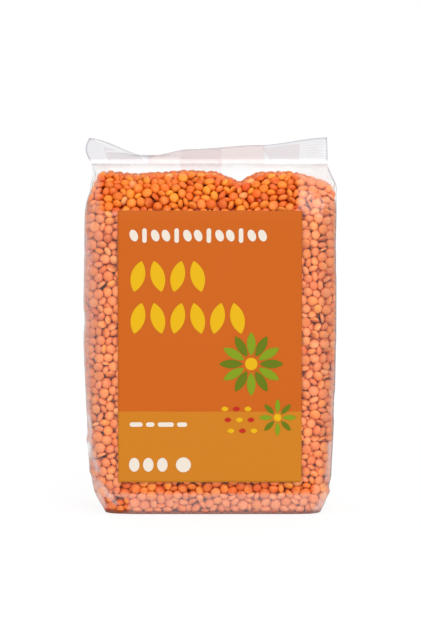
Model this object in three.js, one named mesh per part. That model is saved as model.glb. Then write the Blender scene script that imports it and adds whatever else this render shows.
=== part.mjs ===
// A 500 g bag of red lentils: a clear side-gusset film bag that stands on its flat base, with the
// seal fin on top leaning back, and a printed label on the front.
// Millimetres, +Z up. The front faces -Y and the origin is the centre of the base.

import * as THREE from "three";

// The filled body, as half sizes about the bag's middle.
const HALF_WIDTH = 50.2;
const HALF_DEPTH = 23;
const BASE_HALF_WIDTH = 44.2;
const BASE_HALF_DEPTH = 19.5;
const CORNER_RADIUS = 7;
const CORNER_SHARE = 0.45; // of the half depth, where the bag is too thin for the full radius
const TAPER = 3.2; // how much narrower the body is at the base than at its widest
const TAPER_POWER = 3;
const WIDEST_HEIGHT = 95;
const CHAMFER_HEIGHT = 9; // the folded bottom corners end here
const CHAMFER_POWER = 1.6;
const KICK_HEIGHT = 9; // the front and back film turn under below this
const BELLY = 1.1; // how far the front and back bulge
const BELLY_HEIGHT = 129.5;

// The shoulders, where the film closes over the contents, and the seal fin.
const SHOULDER_HEIGHT = 113.5;
const SEAL_HEIGHT = 139.5;
const SHOULDER_ROUNDING = 3;
const SHOULDER_CLOSING = 0.6;
const NECK_HEIGHT = 130.5; // the sides start to draw in here
const FIN_HALF_WIDTH = 47.2;
const FIN_LENGTH = 13;
const FIN_HALF_THICKNESS = 0.5;
const FIN_BEND_RADIUS = 3;
const GUSSET_START = 119.5;
const GUSSET_TUCK = 15; // how far the side panels fold in under the fin

// The left side draws in at the foot and at the neck, stands out a little between them, and flares
// out along the fin's end.
const LEFT_SHIFTS = [
  { height: 1, depth: 2.0, spread: 11 },
  { height: 75, depth: -0.6, spread: 28 },
  { height: 131.5, depth: 2.4, spread: 6 },
  { height: 147, depth: -3.3, spread: 7.5 },
];

// How far the fin leans back at places across it, in millimetres and degrees.
const LEAN = [
  [-50, 44],
  [-25, 95],
  [-8, 76],
  [20, 65],
  [48, 42],
];

// Folds in the film, each pressed inwards round a line on the front (side -1) or the back (side 1).
const FOLDS = [
  { side: -1, from: [12, 140.5], to: [11.5, 130.5], depth: 3.2, width: 4.5 },
  { side: -1, from: [-25, 139.5], to: [-46, 130.5], depth: 2.0, width: 3.0 },
  { side: -1, from: [-25, 139.5], to: [-8, 132.5], depth: 1.2, width: 3.0 },
  { side: -1, from: [38, 139.5], to: [46, 128.5], depth: 1.2, width: 3.0 },
  { side: -1, from: [-49, 26], to: [-37, 2], depth: 1.4, width: 3.0 },
  { side: -1, from: [48, 24], to: [39, 2], depth: 0.9, width: 3.0 },
  { side: 1, from: [-20, 139.5], to: [-38, 127.5], depth: 2.0, width: 4.0 },
  { side: 1, from: [24, 139.5], to: [34, 128.5], depth: 1.8, width: 4.0 },
  { side: 1, from: [-48, 24], to: [-38, 2], depth: 1.2, width: 3.0 },
  { side: 1, from: [48, 26], to: [38, 2], depth: 1.2, width: 3.0 },
];

// A fold never presses the film in past this share of the half depth, and fades out at the seal.
const FOLD_LIMIT = 0.5;
const FOLD_FADE = 3;

// The lengthwise seam on the back, folded flat: a strip from the base to the fin's edge.
const SEAM_LEFT = -11.7;
const SEAM_RIGHT = 3.9;
const SEAM_THICKNESS = 0.6;
const SEAM_STEP = 0.4;

// The label, on the front.
const LABEL_LEFT = -36.8;
const LABEL_RIGHT = 36.3;
const LABEL_BOTTOM = 13.6;
const LABEL_TOP = 122;
const LABEL_THICKNESS = 0.4;
const LABEL_GAP = 0.3;

// How finely the surfaces are divided.
const FACES_UP_KICK = 4;
const FACES_UP_BODY = 16;
const FACES_UP_SHOULDER = 9;
const FACES_UP_NOTCH = 4;
const NOTCH_HEIGHT = 3; // the last stretch below the seal, where the side folds close
const FACES_UP_FIN = 7;
const FACES_LEFT_OF_SEAM = 11;
const FACES_IN_SEAM = 4;
const FACES_RIGHT_OF_SEAM = 13;
const FACES_ALONG_SIDE = 8;
const FACES_ROUND_CORNER = 3;
const LABEL_FACES_ACROSS = 14;
const LABEL_FACES_UP = 20;

// The finishes: clear film with the lentils' colour behind it, and printed paper.
const FILLED_FILM = { color: 0xe08050, roughness: 0.3, metalness: 0 };
const PRINTED_PAPER = { color: 0xd56c2a, roughness: 0.55, metalness: 0 };

const { clamp, degToRad, lerp, smoothstep } = THREE.MathUtils;

// Numbers from low to high in equal steps.
function steps(low, high, count) {
  return Array.from({ length: count + 1 }, (_, i) => lerp(low, high, i / count));
}

// A smooth hill of height 1 over centre.
function hill(value, centre, spread) {
  return Math.exp(-(((value - centre) / spread) ** 2));
}

// The body's half width at a height, before the left side's own shape.
function halfWidth(h) {
  const taper = TAPER * Math.max(0, 1 - h / WIDEST_HEIGHT) ** TAPER_POWER;
  const chamfer =
    (HALF_WIDTH - TAPER - BASE_HALF_WIDTH) * Math.max(0, 1 - h / CHAMFER_HEIGHT) ** CHAMFER_POWER;
  const neck = (HALF_WIDTH - FIN_HALF_WIDTH) * smoothstep(h, NECK_HEIGHT, SEAL_HEIGHT);
  return HALF_WIDTH - taper - chamfer - neck;
}

// The bag's half depth at a height: the flat body, turned under at the base and closed over the top.
function halfDepth(h) {
  if (h >= SEAL_HEIGHT) return FIN_HALF_THICKNESS;
  const kick = (HALF_DEPTH - BASE_HALF_DEPTH) * Math.max(0, 1 - h / KICK_HEIGHT);
  const rise = clamp((h - SHOULDER_HEIGHT) / (SEAL_HEIGHT - SHOULDER_HEIGHT), 0, 1);
  const closing = (1 - rise ** SHOULDER_ROUNDING) ** SHOULDER_CLOSING;
  return lerp(FIN_HALF_THICKNESS, HALF_DEPTH - kick, closing);
}

// How far the front or back stands out from the flat at a place, without the folds.
function bulge(x, h) {
  const across = Math.max(0, 1 - (x / HALF_WIDTH) ** 2);
  const up = Math.sin(Math.PI * clamp(h / BELLY_HEIGHT, 0, 1));
  return BELLY * across * up;
}

// How far the folds press the front (side -1) or the back (side 1) in at a place.
function foldDepth(x, h, side) {
  const at = new THREE.Vector2(x, h);
  let depth = 0;
  for (const fold of FOLDS.filter((f) => f.side === side)) {
    const start = new THREE.Vector2(...fold.from);
    const along = new THREE.Vector2(...fold.to).sub(start);
    const share = clamp(at.clone().sub(start).dot(along) / along.lengthSq(), 0, 1);
    const nearest = start.clone().addScaledVector(along, share);
    depth += fold.depth * hill(at.distanceTo(nearest), 0, fold.width);
  }
  return depth;
}

// The distance from the middle plane to the front or back film.
function filmDistance(x, h, side) {
  const depth = halfDepth(h);
  const free = clamp((depth - FIN_HALF_THICKNESS) / HALF_DEPTH, 0, 1);
  const pressed = Math.min(foldDepth(x, h, side), FOLD_LIMIT * depth);
  return depth + bulge(x, h) * free - pressed * Math.min(1, FOLD_FADE * free);
}

// Where the fin leans, in radians: a smooth curve through the LEAN places.
function leanAngle(x) {
  const next = LEAN.findIndex(([place]) => place >= x);
  if (next === 0) return degToRad(LEAN[0][1]);
  if (next < 0) return degToRad(LEAN.at(-1)[1]);
  const [[left, before], [right, after]] = [LEAN[next - 1], LEAN[next]];
  const turned = lerp(before, after, smoothstep(x, left, right));
  return degToRad(turned);
}

// Leans the part of the film above the seal's foot back, round a small bend.
function leanBack(point) {
  const above = point.z - SEAL_HEIGHT;
  if (above <= 0) return point;
  const lean = leanAngle(point.x);
  const bent = Math.min(above / FIN_BEND_RADIUS, lean);
  const straight = Math.max(0, above - FIN_BEND_RADIUS * lean);
  const back = FIN_BEND_RADIUS * (1 - Math.cos(bent)) + straight * Math.sin(lean);
  const up = FIN_BEND_RADIUS * Math.sin(bent) + straight * Math.cos(lean);
  return new THREE.Vector3(
    point.x,
    back + point.y * Math.cos(bent),
    SEAL_HEIGHT + up - point.y * Math.sin(bent),
  );
}

// How far the left side draws in at a place.
function leftSideShift(x, h) {
  const share = smoothstep(-x, 0, HALF_WIDTH);
  return LEFT_SHIFTS.reduce((sum, s) => sum + share * s.depth * hill(h, s.height, s.spread), 0);
}

// How far a side panel folds in at a height and a share of the way from its middle to its edge.
function gussetTuck(h, share) {
  const rise = h < SEAL_HEIGHT ? smoothstep(h, GUSSET_START, SEAL_HEIGHT) : 0;
  return GUSSET_TUCK * rise * (1 - Math.abs(share));
}

// Where the front and back have vertices, for a panel that reaches flat to either side: the strip
// of the back seam has its own, so that its edges run straight up.
function stationsAcross(flat) {
  return [
    ...steps(-flat, SEAM_LEFT - SEAM_STEP, FACES_LEFT_OF_SEAM),
    ...steps(SEAM_LEFT, SEAM_RIGHT, FACES_IN_SEAM),
    ...steps(SEAM_RIGHT + SEAM_STEP, flat, FACES_RIGHT_OF_SEAM),
  ];
}

// The bag's outline at one height, as vertices round it from the front's left end to the right.
function ringAt(h) {
  const wide = halfWidth(h);
  const deep = halfDepth(h);
  const radius = Math.min(CORNER_RADIUS, CORNER_SHARE * deep);
  const flat = wide - radius;
  const inner = deep - radius;
  const across = stationsAcross(flat);
  const film = (x, side) => side * filmDistance(x, h, side);
  const seam = (x) => (h > 0 && x >= SEAM_LEFT && x <= SEAM_RIGHT ? SEAM_THICKNESS : 0);
  const corner = (turn, sideX, sideY) => {
    const proud = filmDistance(sideX * flat, h, sideY) - deep;
    const share = Math.sin(turn);
    const x = sideX * (flat + radius * Math.cos(turn));
    return [x, sideY * (inner + radius * share + proud * share)];
  };
  const side = (share, sideX) => {
    return [sideX * (wide - gussetTuck(h, share)), share * inner];
  };
  const turns = steps(0, Math.PI / 2, FACES_ROUND_CORNER + 1).slice(1, -1);
  const shares = steps(-1, 1, FACES_ALONG_SIDE);
  const outline = [
    ...across.map((x) => [x, film(x, -1)]),
    ...[...turns].reverse().map((t) => corner(t, 1, -1)),
    ...shares.map((s) => side(s, 1)),
    ...turns.map((t) => corner(t, 1, 1)),
    ...[...across].reverse().map((x) => [x, film(x, 1) + seam(x)]),
    ...[...turns].reverse().map((t) => corner(t, -1, 1)),
    ...[...shares].reverse().map((s) => side(s, -1)),
    ...turns.map((t) => corner(t, -1, -1)),
  ];
  return outline.map(([x, y]) => {
    return leanBack(new THREE.Vector3(x + leftSideShift(x, h), y, h));
  });
}

// Faces between rings of equal length, as index triples that look outwards.
function wallFaces(ringCount, ringLength) {
  const faces = [];
  for (let level = 0; level + 1 < ringCount; level++) {
    for (let i = 0; i < ringLength; i++) {
      const next = (i + 1) % ringLength;
      const low = level * ringLength;
      const high = low + ringLength;
      faces.push([low + i, low + next, high + next], [low + i, high + next, high + i]);
    }
  }
  return faces;
}

// Closes the fin's edge: the front is stitched to the back, and each end is a small fan.
function finEdgeFaces(first, ringLength) {
  const acrossCount = stationsAcross(HALF_WIDTH).length;
  const back = (i) => first + ringLength / 2 + (acrossCount - 1 - i);
  const faces = [];
  for (let i = 0; i + 1 < acrossCount; i++) {
    faces.push([first + i, first + i + 1, back(i + 1)], [first + i, back(i + 1), back(i)]);
  }
  for (let i = acrossCount; i < ringLength / 2; i++) {
    faces.push([first + acrossCount - 1, first + i, first + i + 1]);
  }
  const leftStart = ringLength / 2 + acrossCount - 1;
  for (let i = leftStart; i < ringLength; i++) {
    faces.push([first, first + i, first + ((i + 1) % ringLength)]);
  }
  return faces.filter((f) => new Set(f).size === 3);
}

// A geometry from points and index triples.
function solid(points, faces) {
  const geometry = new THREE.BufferGeometry().setFromPoints(points);
  geometry.setIndex(faces.flat());
  geometry.computeVertexNormals();
  return geometry;
}

// The whole bag with what it holds, as one closed solid.
function bagGeometry() {
  const heights = [
    ...steps(0, KICK_HEIGHT, FACES_UP_KICK),
    ...steps(KICK_HEIGHT, SHOULDER_HEIGHT, FACES_UP_BODY).slice(1),
    ...steps(SHOULDER_HEIGHT, SEAL_HEIGHT - NOTCH_HEIGHT, FACES_UP_SHOULDER).slice(1),
    ...steps(SEAL_HEIGHT - NOTCH_HEIGHT, SEAL_HEIGHT, FACES_UP_NOTCH).slice(1),
    ...steps(SEAL_HEIGHT, SEAL_HEIGHT + FIN_LENGTH, FACES_UP_FIN).slice(1),
  ];
  const rings = heights.map(ringAt);
  const ringLength = rings[0].length;
  const base = rings.length * ringLength;
  const floor = Array.from({ length: ringLength }, (_, i) => [base, (i + 1) % ringLength, i]);
  const faces = [
    ...wallFaces(rings.length, ringLength),
    ...finEdgeFaces(base - ringLength, ringLength),
    ...floor,
  ];
  return solid([...rings.flat(), new THREE.Vector3()], faces);
}

// The label: a thin sheet that follows the front film, as one closed solid.
function labelGeometry() {
  const columns = steps(LABEL_LEFT, LABEL_RIGHT, LABEL_FACES_ACROSS);
  const rows = steps(LABEL_BOTTOM, LABEL_TOP, LABEL_FACES_UP);
  const sheet = (gap) =>
    rows.flatMap((z) => columns.map((x) => new THREE.Vector3(x, -filmDistance(x, z, -1) - gap, z)));
  const wide = columns.length;
  const count = wide * rows.length;
  const faces = [];
  for (let row = 0; row + 1 < rows.length; row++) {
    for (let i = row * wide; i + 1 < (row + 1) * wide; i++) {
      faces.push([i, i + 1, i + wide + 1], [i, i + wide + 1, i + wide]);
      const b = i + count;
      faces.push([b, b + wide + 1, b + 1], [b, b + wide, b + wide + 1]);
    }
  }
  const bottom = Array.from({ length: wide }, (_, i) => i);
  const right = rows.map((_, row) => row * wide + wide - 1);
  const top = bottom.map((i) => count - 1 - i);
  const left = [...rows.keys()].reverse().map((row) => row * wide);
  const rim = [...new Set([...bottom, ...right, ...top, ...left])];
  rim.forEach((a, i) => {
    const b = rim[(i + 1) % rim.length];
    faces.push([a, a + count, b + count], [a, b + count, b]);
  });
  return solid([...sheet(LABEL_GAP + LABEL_THICKNESS), ...sheet(LABEL_GAP)], faces);
}

// A named mesh with its finish.
function piece(name, geometry, finish) {
  const mesh = new THREE.Mesh(geometry, new THREE.MeshStandardMaterial(finish));
  mesh.name = name;
  return mesh;
}

const bagOfLentils = new THREE.Group();
bagOfLentils.add(piece("bag", bagGeometry(), FILLED_FILM));
bagOfLentils.add(piece("label", labelGeometry(), PRINTED_PAPER));

export default bagOfLentils;
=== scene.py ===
"""A clear side-gusset film bag of red lentils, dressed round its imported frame.

The bag's solid is replaced by a thin clear film, by the lentils that press against it and by a
core that stands for the lentils further in. The label's solid is replaced by a printed sheet.
Sizes are in millimetres until a mesh is made, where they become Blender's metres.
"""

import logging
import math
from dataclasses import dataclass, field
from enum import Enum
from typing import Callable, Iterable, Sequence

import bpy
import numpy as np
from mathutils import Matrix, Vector
from mathutils.bvhtree import BVHTree

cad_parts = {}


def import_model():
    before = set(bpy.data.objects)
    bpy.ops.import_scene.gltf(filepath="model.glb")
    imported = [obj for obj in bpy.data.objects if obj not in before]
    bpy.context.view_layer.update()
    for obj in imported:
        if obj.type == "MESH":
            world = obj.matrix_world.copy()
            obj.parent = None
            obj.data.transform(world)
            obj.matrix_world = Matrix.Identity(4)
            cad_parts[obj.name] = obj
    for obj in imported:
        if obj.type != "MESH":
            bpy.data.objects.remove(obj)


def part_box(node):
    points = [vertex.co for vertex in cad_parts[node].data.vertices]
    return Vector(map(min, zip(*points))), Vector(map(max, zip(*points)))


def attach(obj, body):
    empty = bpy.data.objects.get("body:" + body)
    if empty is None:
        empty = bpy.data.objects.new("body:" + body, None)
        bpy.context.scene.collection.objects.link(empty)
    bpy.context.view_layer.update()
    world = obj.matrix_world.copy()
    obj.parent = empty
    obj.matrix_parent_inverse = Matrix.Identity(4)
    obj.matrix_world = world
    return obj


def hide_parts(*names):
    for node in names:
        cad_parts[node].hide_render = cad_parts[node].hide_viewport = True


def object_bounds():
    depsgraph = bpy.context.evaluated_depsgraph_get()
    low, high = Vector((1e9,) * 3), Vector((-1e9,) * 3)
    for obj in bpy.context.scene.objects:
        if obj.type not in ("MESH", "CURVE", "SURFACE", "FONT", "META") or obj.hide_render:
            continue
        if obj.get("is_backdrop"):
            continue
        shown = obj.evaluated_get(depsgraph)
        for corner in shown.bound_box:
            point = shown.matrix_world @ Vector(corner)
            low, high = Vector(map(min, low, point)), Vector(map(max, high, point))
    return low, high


LOG = logging.getLogger("bag_of_lentils")

MM = 0.001
ROOT_BODY = "root"
BAG_NODE = "bag"
LABEL_NODE = "label"
FRONT = -1
BACK = 1
EITHER = 0
# Further than the bag reaches to either side, in millimetres.
WHOLE_WIDTH = (-60, 60)
# How far lentils still lie under the label's edges, and how finely the film's inside is measured.
LABEL_OVERLAP = 5.0
FIELD_PITCH = 1.3

# The photograph's frame in pixels, and how many millimetres a pixel covers at the bag's front.
PHOTO_WIDTH = 421
PHOTO_HEIGHT = 631
MM_PER_PIXEL = 0.397
PHOTO_FLOOR_ROW = 518


def linear(hex_colour: str, alpha: float = 1.0) -> tuple[float, float, float, float]:
    """Turns an sRGB hex colour into linear light.

    Args:
        hex_colour: Six hex digits after a hash sign.
        alpha: The fourth value to give with it.

    Returns:
        Red, green, blue and alpha, each from 0 to 1.
    """
    values = [int(hex_colour[i : i + 2], 16) / 255.0 for i in (1, 3, 5)]
    light = [v / 12.92 if v <= 0.04045 else ((v + 0.055) / 1.055) ** 2.4 for v in values]
    return light[0], light[1], light[2], alpha


def smoothstep(value: np.ndarray, low: float, high: float) -> np.ndarray:
    """Rises smoothly from 0 at low to 1 at high."""
    t = np.clip((np.asarray(value, float) - low) / (high - low), 0.0, 1.0)
    return t * t * (3.0 - 2.0 * t)


def hill(value: np.ndarray, centre: float, spread: float) -> np.ndarray:
    """A smooth hill of height 1 over centre."""
    return np.exp(-(((value - centre) / spread) ** 2))


def add_node(
    tree: bpy.types.NodeTree,
    kind: str,
    settings: dict[str, object] | None = None,
    links: dict[str | int, object] | None = None,
    **values: object,
) -> bpy.types.Node:
    """Adds one node with its settings, its socket values and its links.

    Args:
        tree: The node tree that gets the node.
        kind: The node's type name.
        settings: Attributes of the node itself.
        links: For an input's name or number, the output socket that feeds it or its plain value.
        **values: For an input's name, with underscores for spaces, its plain value.

    Returns:
        The new node.
    """
    node = tree.nodes.new(kind)
    for name, value in (settings or {}).items():
        setattr(node, name, value)
    for name, value in values.items():
        node.inputs[name.replace("_", " ")].default_value = value
    for key, source in (links or {}).items():
        if isinstance(source, bpy.types.NodeSocket):
            tree.links.new(source, node.inputs[key])
        else:
            node.inputs[key].default_value = source
    return node


def empty_material(name: str) -> tuple[bpy.types.Material, bpy.types.NodeTree]:
    """Makes a material whose tree has no nodes yet.

    Args:
        name: The material's name.

    Returns:
        The material and its tree.
    """
    material = bpy.data.materials.new(name)
    material.use_nodes = True
    material.node_tree.nodes.clear()
    return material, material.node_tree


def add_attribute(piece: bpy.types.Object, name: str, kind: str, values: np.ndarray) -> None:
    """Gives a piece a named value at each vertex, for its material or its nodes to read.

    Args:
        piece: The piece.
        name: The attribute's name.
        kind: FLOAT, FLOAT_VECTOR, FLOAT_COLOR or QUATERNION.
        values: One value or one row for each vertex.
    """
    entry = {"FLOAT_VECTOR": "vector", "FLOAT_COLOR": "color"}.get(kind, "value")
    piece.data.attributes.new(name, kind, "POINT").data.foreach_set(entry, np.ravel(values))


def make_object(name: str, points: np.ndarray, faces: Sequence, smooth: bool = True) -> bpy.types.Object:
    """Makes a mesh object at the origin from points in millimetres.

    Args:
        name: The object's name.
        points: One row of x, y and z for each vertex.
        faces: Vertex numbers of each face, outwards anticlockwise.
        smooth: Whether the faces are shaded smooth.

    Returns:
        The object, linked to the scene.
    """
    mesh = bpy.data.meshes.new(name)
    mesh.from_pydata((np.asarray(points) * MM).tolist(), [], [tuple(f) for f in faces])
    mesh.validate()
    mesh.polygons.foreach_set("use_smooth", [smooth] * len(mesh.polygons))
    mesh.update()
    piece = bpy.data.objects.new(name, mesh)
    bpy.context.scene.collection.objects.link(piece)
    return piece


def register(piece: bpy.types.Object, slot: str, *nodes: str) -> None:
    """Makes a piece ride on the body and hides the solids that it stands for."""
    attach(piece, ROOT_BODY)
    if nodes:
        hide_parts(*nodes)
    LOG.info("%s: %d triangles", piece.name, sum(len(p.vertices) - 2 for p in piece.data.polygons))


@dataclass(frozen=True)
class Crease:
    """A fold in the film, pressed in round a line on the front or the back.

    Attributes:
        side: FRONT or BACK.
        start: One end, as x and height in millimetres.
        end: The other end.
        depth: How far the film is pressed in on the line, or out if negative.
        width: How quickly the depth falls off beside the line.
        sharp: Whether the line is a crisp fold and not a soft hollow.
    """

    side: int
    start: tuple[float, float]
    end: tuple[float, float]
    depth: float
    width: float
    sharp: bool = False

    def press(self, x: np.ndarray, h: np.ndarray) -> np.ndarray:
        """How far this fold presses the film in at each place."""
        line = np.subtract(self.end, self.start)
        share = ((x - self.start[0]) * line[0] + (h - self.start[1]) * line[1]) / (line @ line)
        share = np.clip(share, 0.0, 1.0)
        away = np.hypot(x - self.start[0] - share * line[0], h - self.start[1] - share * line[1])
        if self.sharp:
            return self.depth * np.exp(-away / self.width)
        return self.depth * np.exp(-((away / self.width) ** 2))


@dataclass(frozen=True)
class BagForm:
    """The bag's outer form in millimetres, the same as its solid's."""

    half_width: float = 50.2
    half_depth: float = 23.0
    base_half_width: float = 44.2
    base_half_depth: float = 19.5
    corner_radius: float = 7.0
    corner_share: float = 0.45
    taper: float = 3.2
    taper_power: float = 3.0
    widest_height: float = 95.0
    chamfer_height: float = 9.0
    chamfer_power: float = 1.6
    kick_height: float = 9.0
    belly: float = 1.1
    belly_height: float = 129.5
    shoulder_height: float = 113.5
    seal_height: float = 139.5
    shoulder_rounding: float = 3.0
    shoulder_closing: float = 0.6
    neck_height: float = 130.5
    fin_half_width: float = 47.2
    fin_length: float = 13.0
    fin_half_thickness: float = 0.3
    fin_bend_radius: float = 3.0
    gusset_start: float = 119.5
    gusset_tuck: float = 15.0
    left_shifts: tuple[tuple[float, float, float], ...] = (
        (1, 2.0, 11),
        (75, -0.6, 28),
        (131.5, 2.4, 6),
        (147, -3.3, 7.5),
    )
    lean: tuple[tuple[float, float], ...] = ((-50, 44), (-25, 95), (-8, 76), (20, 65), (48, 42))
    seam_left: float = -11.7
    seam_right: float = 3.9
    seam_thickness: float = 0.6
    seam_step: float = 0.4
    fold_limit: float = 0.5
    fold_fade: float = 3.0
    creases: tuple[Crease, ...] = (
        Crease(FRONT, (12, 140.5), (11.5, 130.5), 3.2, 4.5),
        Crease(FRONT, (-25, 139.5), (-46, 130.5), 2.0, 3.0),
        Crease(FRONT, (-25, 139.5), (-8, 132.5), 1.2, 3.0),
        Crease(FRONT, (38, 139.5), (46, 128.5), 1.2, 3.0),
        Crease(FRONT, (-49, 26), (-37, 2), 1.4, 3.0),
        Crease(FRONT, (48, 24), (39, 2), 0.9, 3.0),
        Crease(BACK, (-20, 139.5), (-38, 127.5), 2.0, 4.0),
        Crease(BACK, (24, 139.5), (34, 128.5), 1.8, 4.0),
        Crease(BACK, (-48, 24), (-38, 2), 1.2, 3.0),
        Crease(BACK, (48, 26), (38, 2), 1.2, 3.0),
    )

    def width_at(self, h: float) -> float:
        """The body's half width at a height, before the left side's own shape."""
        taper = self.taper * max(0.0, 1.0 - h / self.widest_height) ** self.taper_power
        corner = self.half_width - self.taper - self.base_half_width
        chamfer = corner * max(0.0, 1.0 - h / self.chamfer_height) ** self.chamfer_power
        drawn_in = self.half_width - self.fin_half_width
        neck = drawn_in * float(smoothstep(h, self.neck_height, self.seal_height))
        return self.half_width - taper - chamfer - neck

    def depth_at(self, h: float) -> float:
        """The bag's half depth at a height."""
        if h >= self.seal_height:
            return self.fin_half_thickness
        kick = (self.half_depth - self.base_half_depth) * max(0.0, 1.0 - h / self.kick_height)
        rise = (h - self.shoulder_height) / (self.seal_height - self.shoulder_height)
        closing = (1.0 - min(1.0, max(0.0, rise)) ** self.shoulder_rounding) ** self.shoulder_closing
        return self.fin_half_thickness + (self.half_depth - kick - self.fin_half_thickness) * closing

    def film_distance(self, x: np.ndarray, h: float, side: int) -> np.ndarray:
        """How far the front or back film is from the middle plane.

        Args:
            x: Places across the bag.
            h: The height along the film.
            side: FRONT or BACK.

        Returns:
            One distance for each place.
        """
        depth = self.depth_at(h)
        free = min(1.0, max(0.0, (depth - self.fin_half_thickness) / self.half_depth))
        across = np.maximum(0.0, 1.0 - (x / self.half_width) ** 2)
        bulge = self.belly * across * math.sin(math.pi * min(1.0, max(0.0, h / self.belly_height)))
        heights = np.full_like(x, h)
        pressed = sum(c.press(x, heights) for c in self.creases if c.side == side)
        pressed = np.minimum(pressed, self.fold_limit * depth)
        return depth + bulge * free - pressed * min(1.0, self.fold_fade * free)

    def lean_angle(self, x: np.ndarray) -> np.ndarray:
        """How far the fin leans back at places across it, in radians."""
        angle = np.full_like(x, self.lean[0][1])
        for (left, before), (right, after) in zip(self.lean, self.lean[1:]):
            angle = np.where(x > left, before + (after - before) * smoothstep(x, left, right), angle)
        return np.radians(angle)

    def lean_back(self, points: np.ndarray) -> np.ndarray:
        """Leans what is above the seal's foot back, round a small bend."""
        above = np.maximum(0.0, points[:, 2] - self.seal_height)
        lean = self.lean_angle(points[:, 0])
        radius = self.fin_bend_radius
        bent = np.minimum(above / radius, lean)
        straight = np.maximum(0.0, above - radius * lean)
        leant = points.copy()
        leant[:, 1] = radius * (1 - np.cos(bent)) + straight * np.sin(lean) + points[:, 1] * np.cos(bent)
        up = radius * np.sin(bent) + straight * np.cos(lean) - points[:, 1] * np.sin(bent)
        leant[:, 2] = np.where(above > 0, self.seal_height + up, points[:, 2])
        return leant

    def left_side_shift(self, x: np.ndarray, h: float) -> np.ndarray:
        """How far the left side draws in at each place."""
        share = smoothstep(-x, 0.0, self.half_width)
        return share * sum(depth * hill(h, height, spread) for height, depth, spread in self.left_shifts)

    def tuck_at(self, h: float, share: np.ndarray) -> np.ndarray:
        """How far a side panel folds in, from its middle (share 0) to its edges (share 1)."""
        rise = float(smoothstep(h, self.gusset_start, self.seal_height)) if h < self.seal_height else 0.0
        return self.gusset_tuck * rise * (1.0 - np.abs(share))

    def ring_at(self, h: float, fineness: "Fineness") -> np.ndarray:
        """The bag's outline at one height, from the front's left end round to the right.

        Args:
            h: The height along the film.
            fineness: How many faces each stretch has.

        Returns:
            The points, before the fin leans back.
        """
        wide = self.width_at(h)
        deep = self.depth_at(h)
        radius = min(self.corner_radius, self.corner_share * deep)
        flat, inner = wide - radius, deep - radius
        across = np.concatenate([
            np.linspace(-flat, self.seam_left - self.seam_step, fineness.left_of_seam + 1),
            np.linspace(self.seam_left, self.seam_right, fineness.in_seam + 1),
            np.linspace(self.seam_right + self.seam_step, flat, fineness.right_of_seam + 1),
        ])
        seam = np.where((across >= self.seam_left) & (across <= self.seam_right), self.seam_thickness, 0)
        front = np.column_stack([across, -self.film_distance(across, h, FRONT)])
        back = np.column_stack([across, self.film_distance(across, h, BACK) + seam * (h > 0)])
        turns = np.linspace(0.0, math.pi / 2, fineness.round_corner + 2)[1:-1]
        shares = np.linspace(-1.0, 1.0, fineness.along_side + 1)

        def corner(turn: np.ndarray, side_x: int, side_y: int) -> np.ndarray:
            """The points round one corner."""
            edge = np.array([side_x * flat])
            proud = self.film_distance(edge, h, side_y)[0] - deep
            y = side_y * (inner + (radius + proud) * np.sin(turn))
            return np.column_stack([side_x * (flat + radius * np.cos(turn)), y])

        def panel(share: np.ndarray, side_x: int) -> np.ndarray:
            """The points along one side panel."""
            return np.column_stack([side_x * (wide - self.tuck_at(h, share)), share * inner])

        outline = np.vstack([
            front,
            corner(turns[::-1], 1, FRONT),
            panel(shares, 1),
            corner(turns, 1, BACK),
            back[::-1],
            corner(turns[::-1], -1, BACK),
            panel(shares[::-1], -1),
            corner(turns, -1, FRONT),
        ])
        points = np.column_stack([outline, np.full(len(outline), h)])
        points[:, 0] += self.left_side_shift(points[:, 0], h)
        return points


@dataclass(frozen=True)
class Fineness:
    """How many faces a ring of the film has in each of its stretches."""

    left_of_seam: int
    in_seam: int
    right_of_seam: int
    along_side: int
    round_corner: int

    @property
    def across(self) -> int:
        """How many vertices the front has, and the back."""
        return self.left_of_seam + self.in_seam + self.right_of_seam + 3


def wall_faces(levels: int, around: int) -> list[tuple[int, int, int, int]]:
    """Faces between rings of equal length, outwards."""
    return [
        (level + i, level + (i + 1) % around, level + around + (i + 1) % around, level + around + i)
        for level in range(0, (levels - 1) * around, around)
        for i in range(around)
    ]


def fin_edge_faces(first: int, around: int, across: int) -> list[tuple[int, ...]]:
    """Closes the top ring: the front is stitched to the back, and each end is one face."""
    half = around // 2
    faces: list[tuple[int, ...]] = []
    for i in range(across - 1):
        opposite = first + half + across - 1 - i
        faces.append((first + i, first + i + 1, opposite - 1, opposite))
    faces.append(tuple(first + i for i in range(across - 1, half + 1)))
    faces.append(tuple([first] + [first + i for i in range(half + across - 1, around)]))
    return faces


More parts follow.
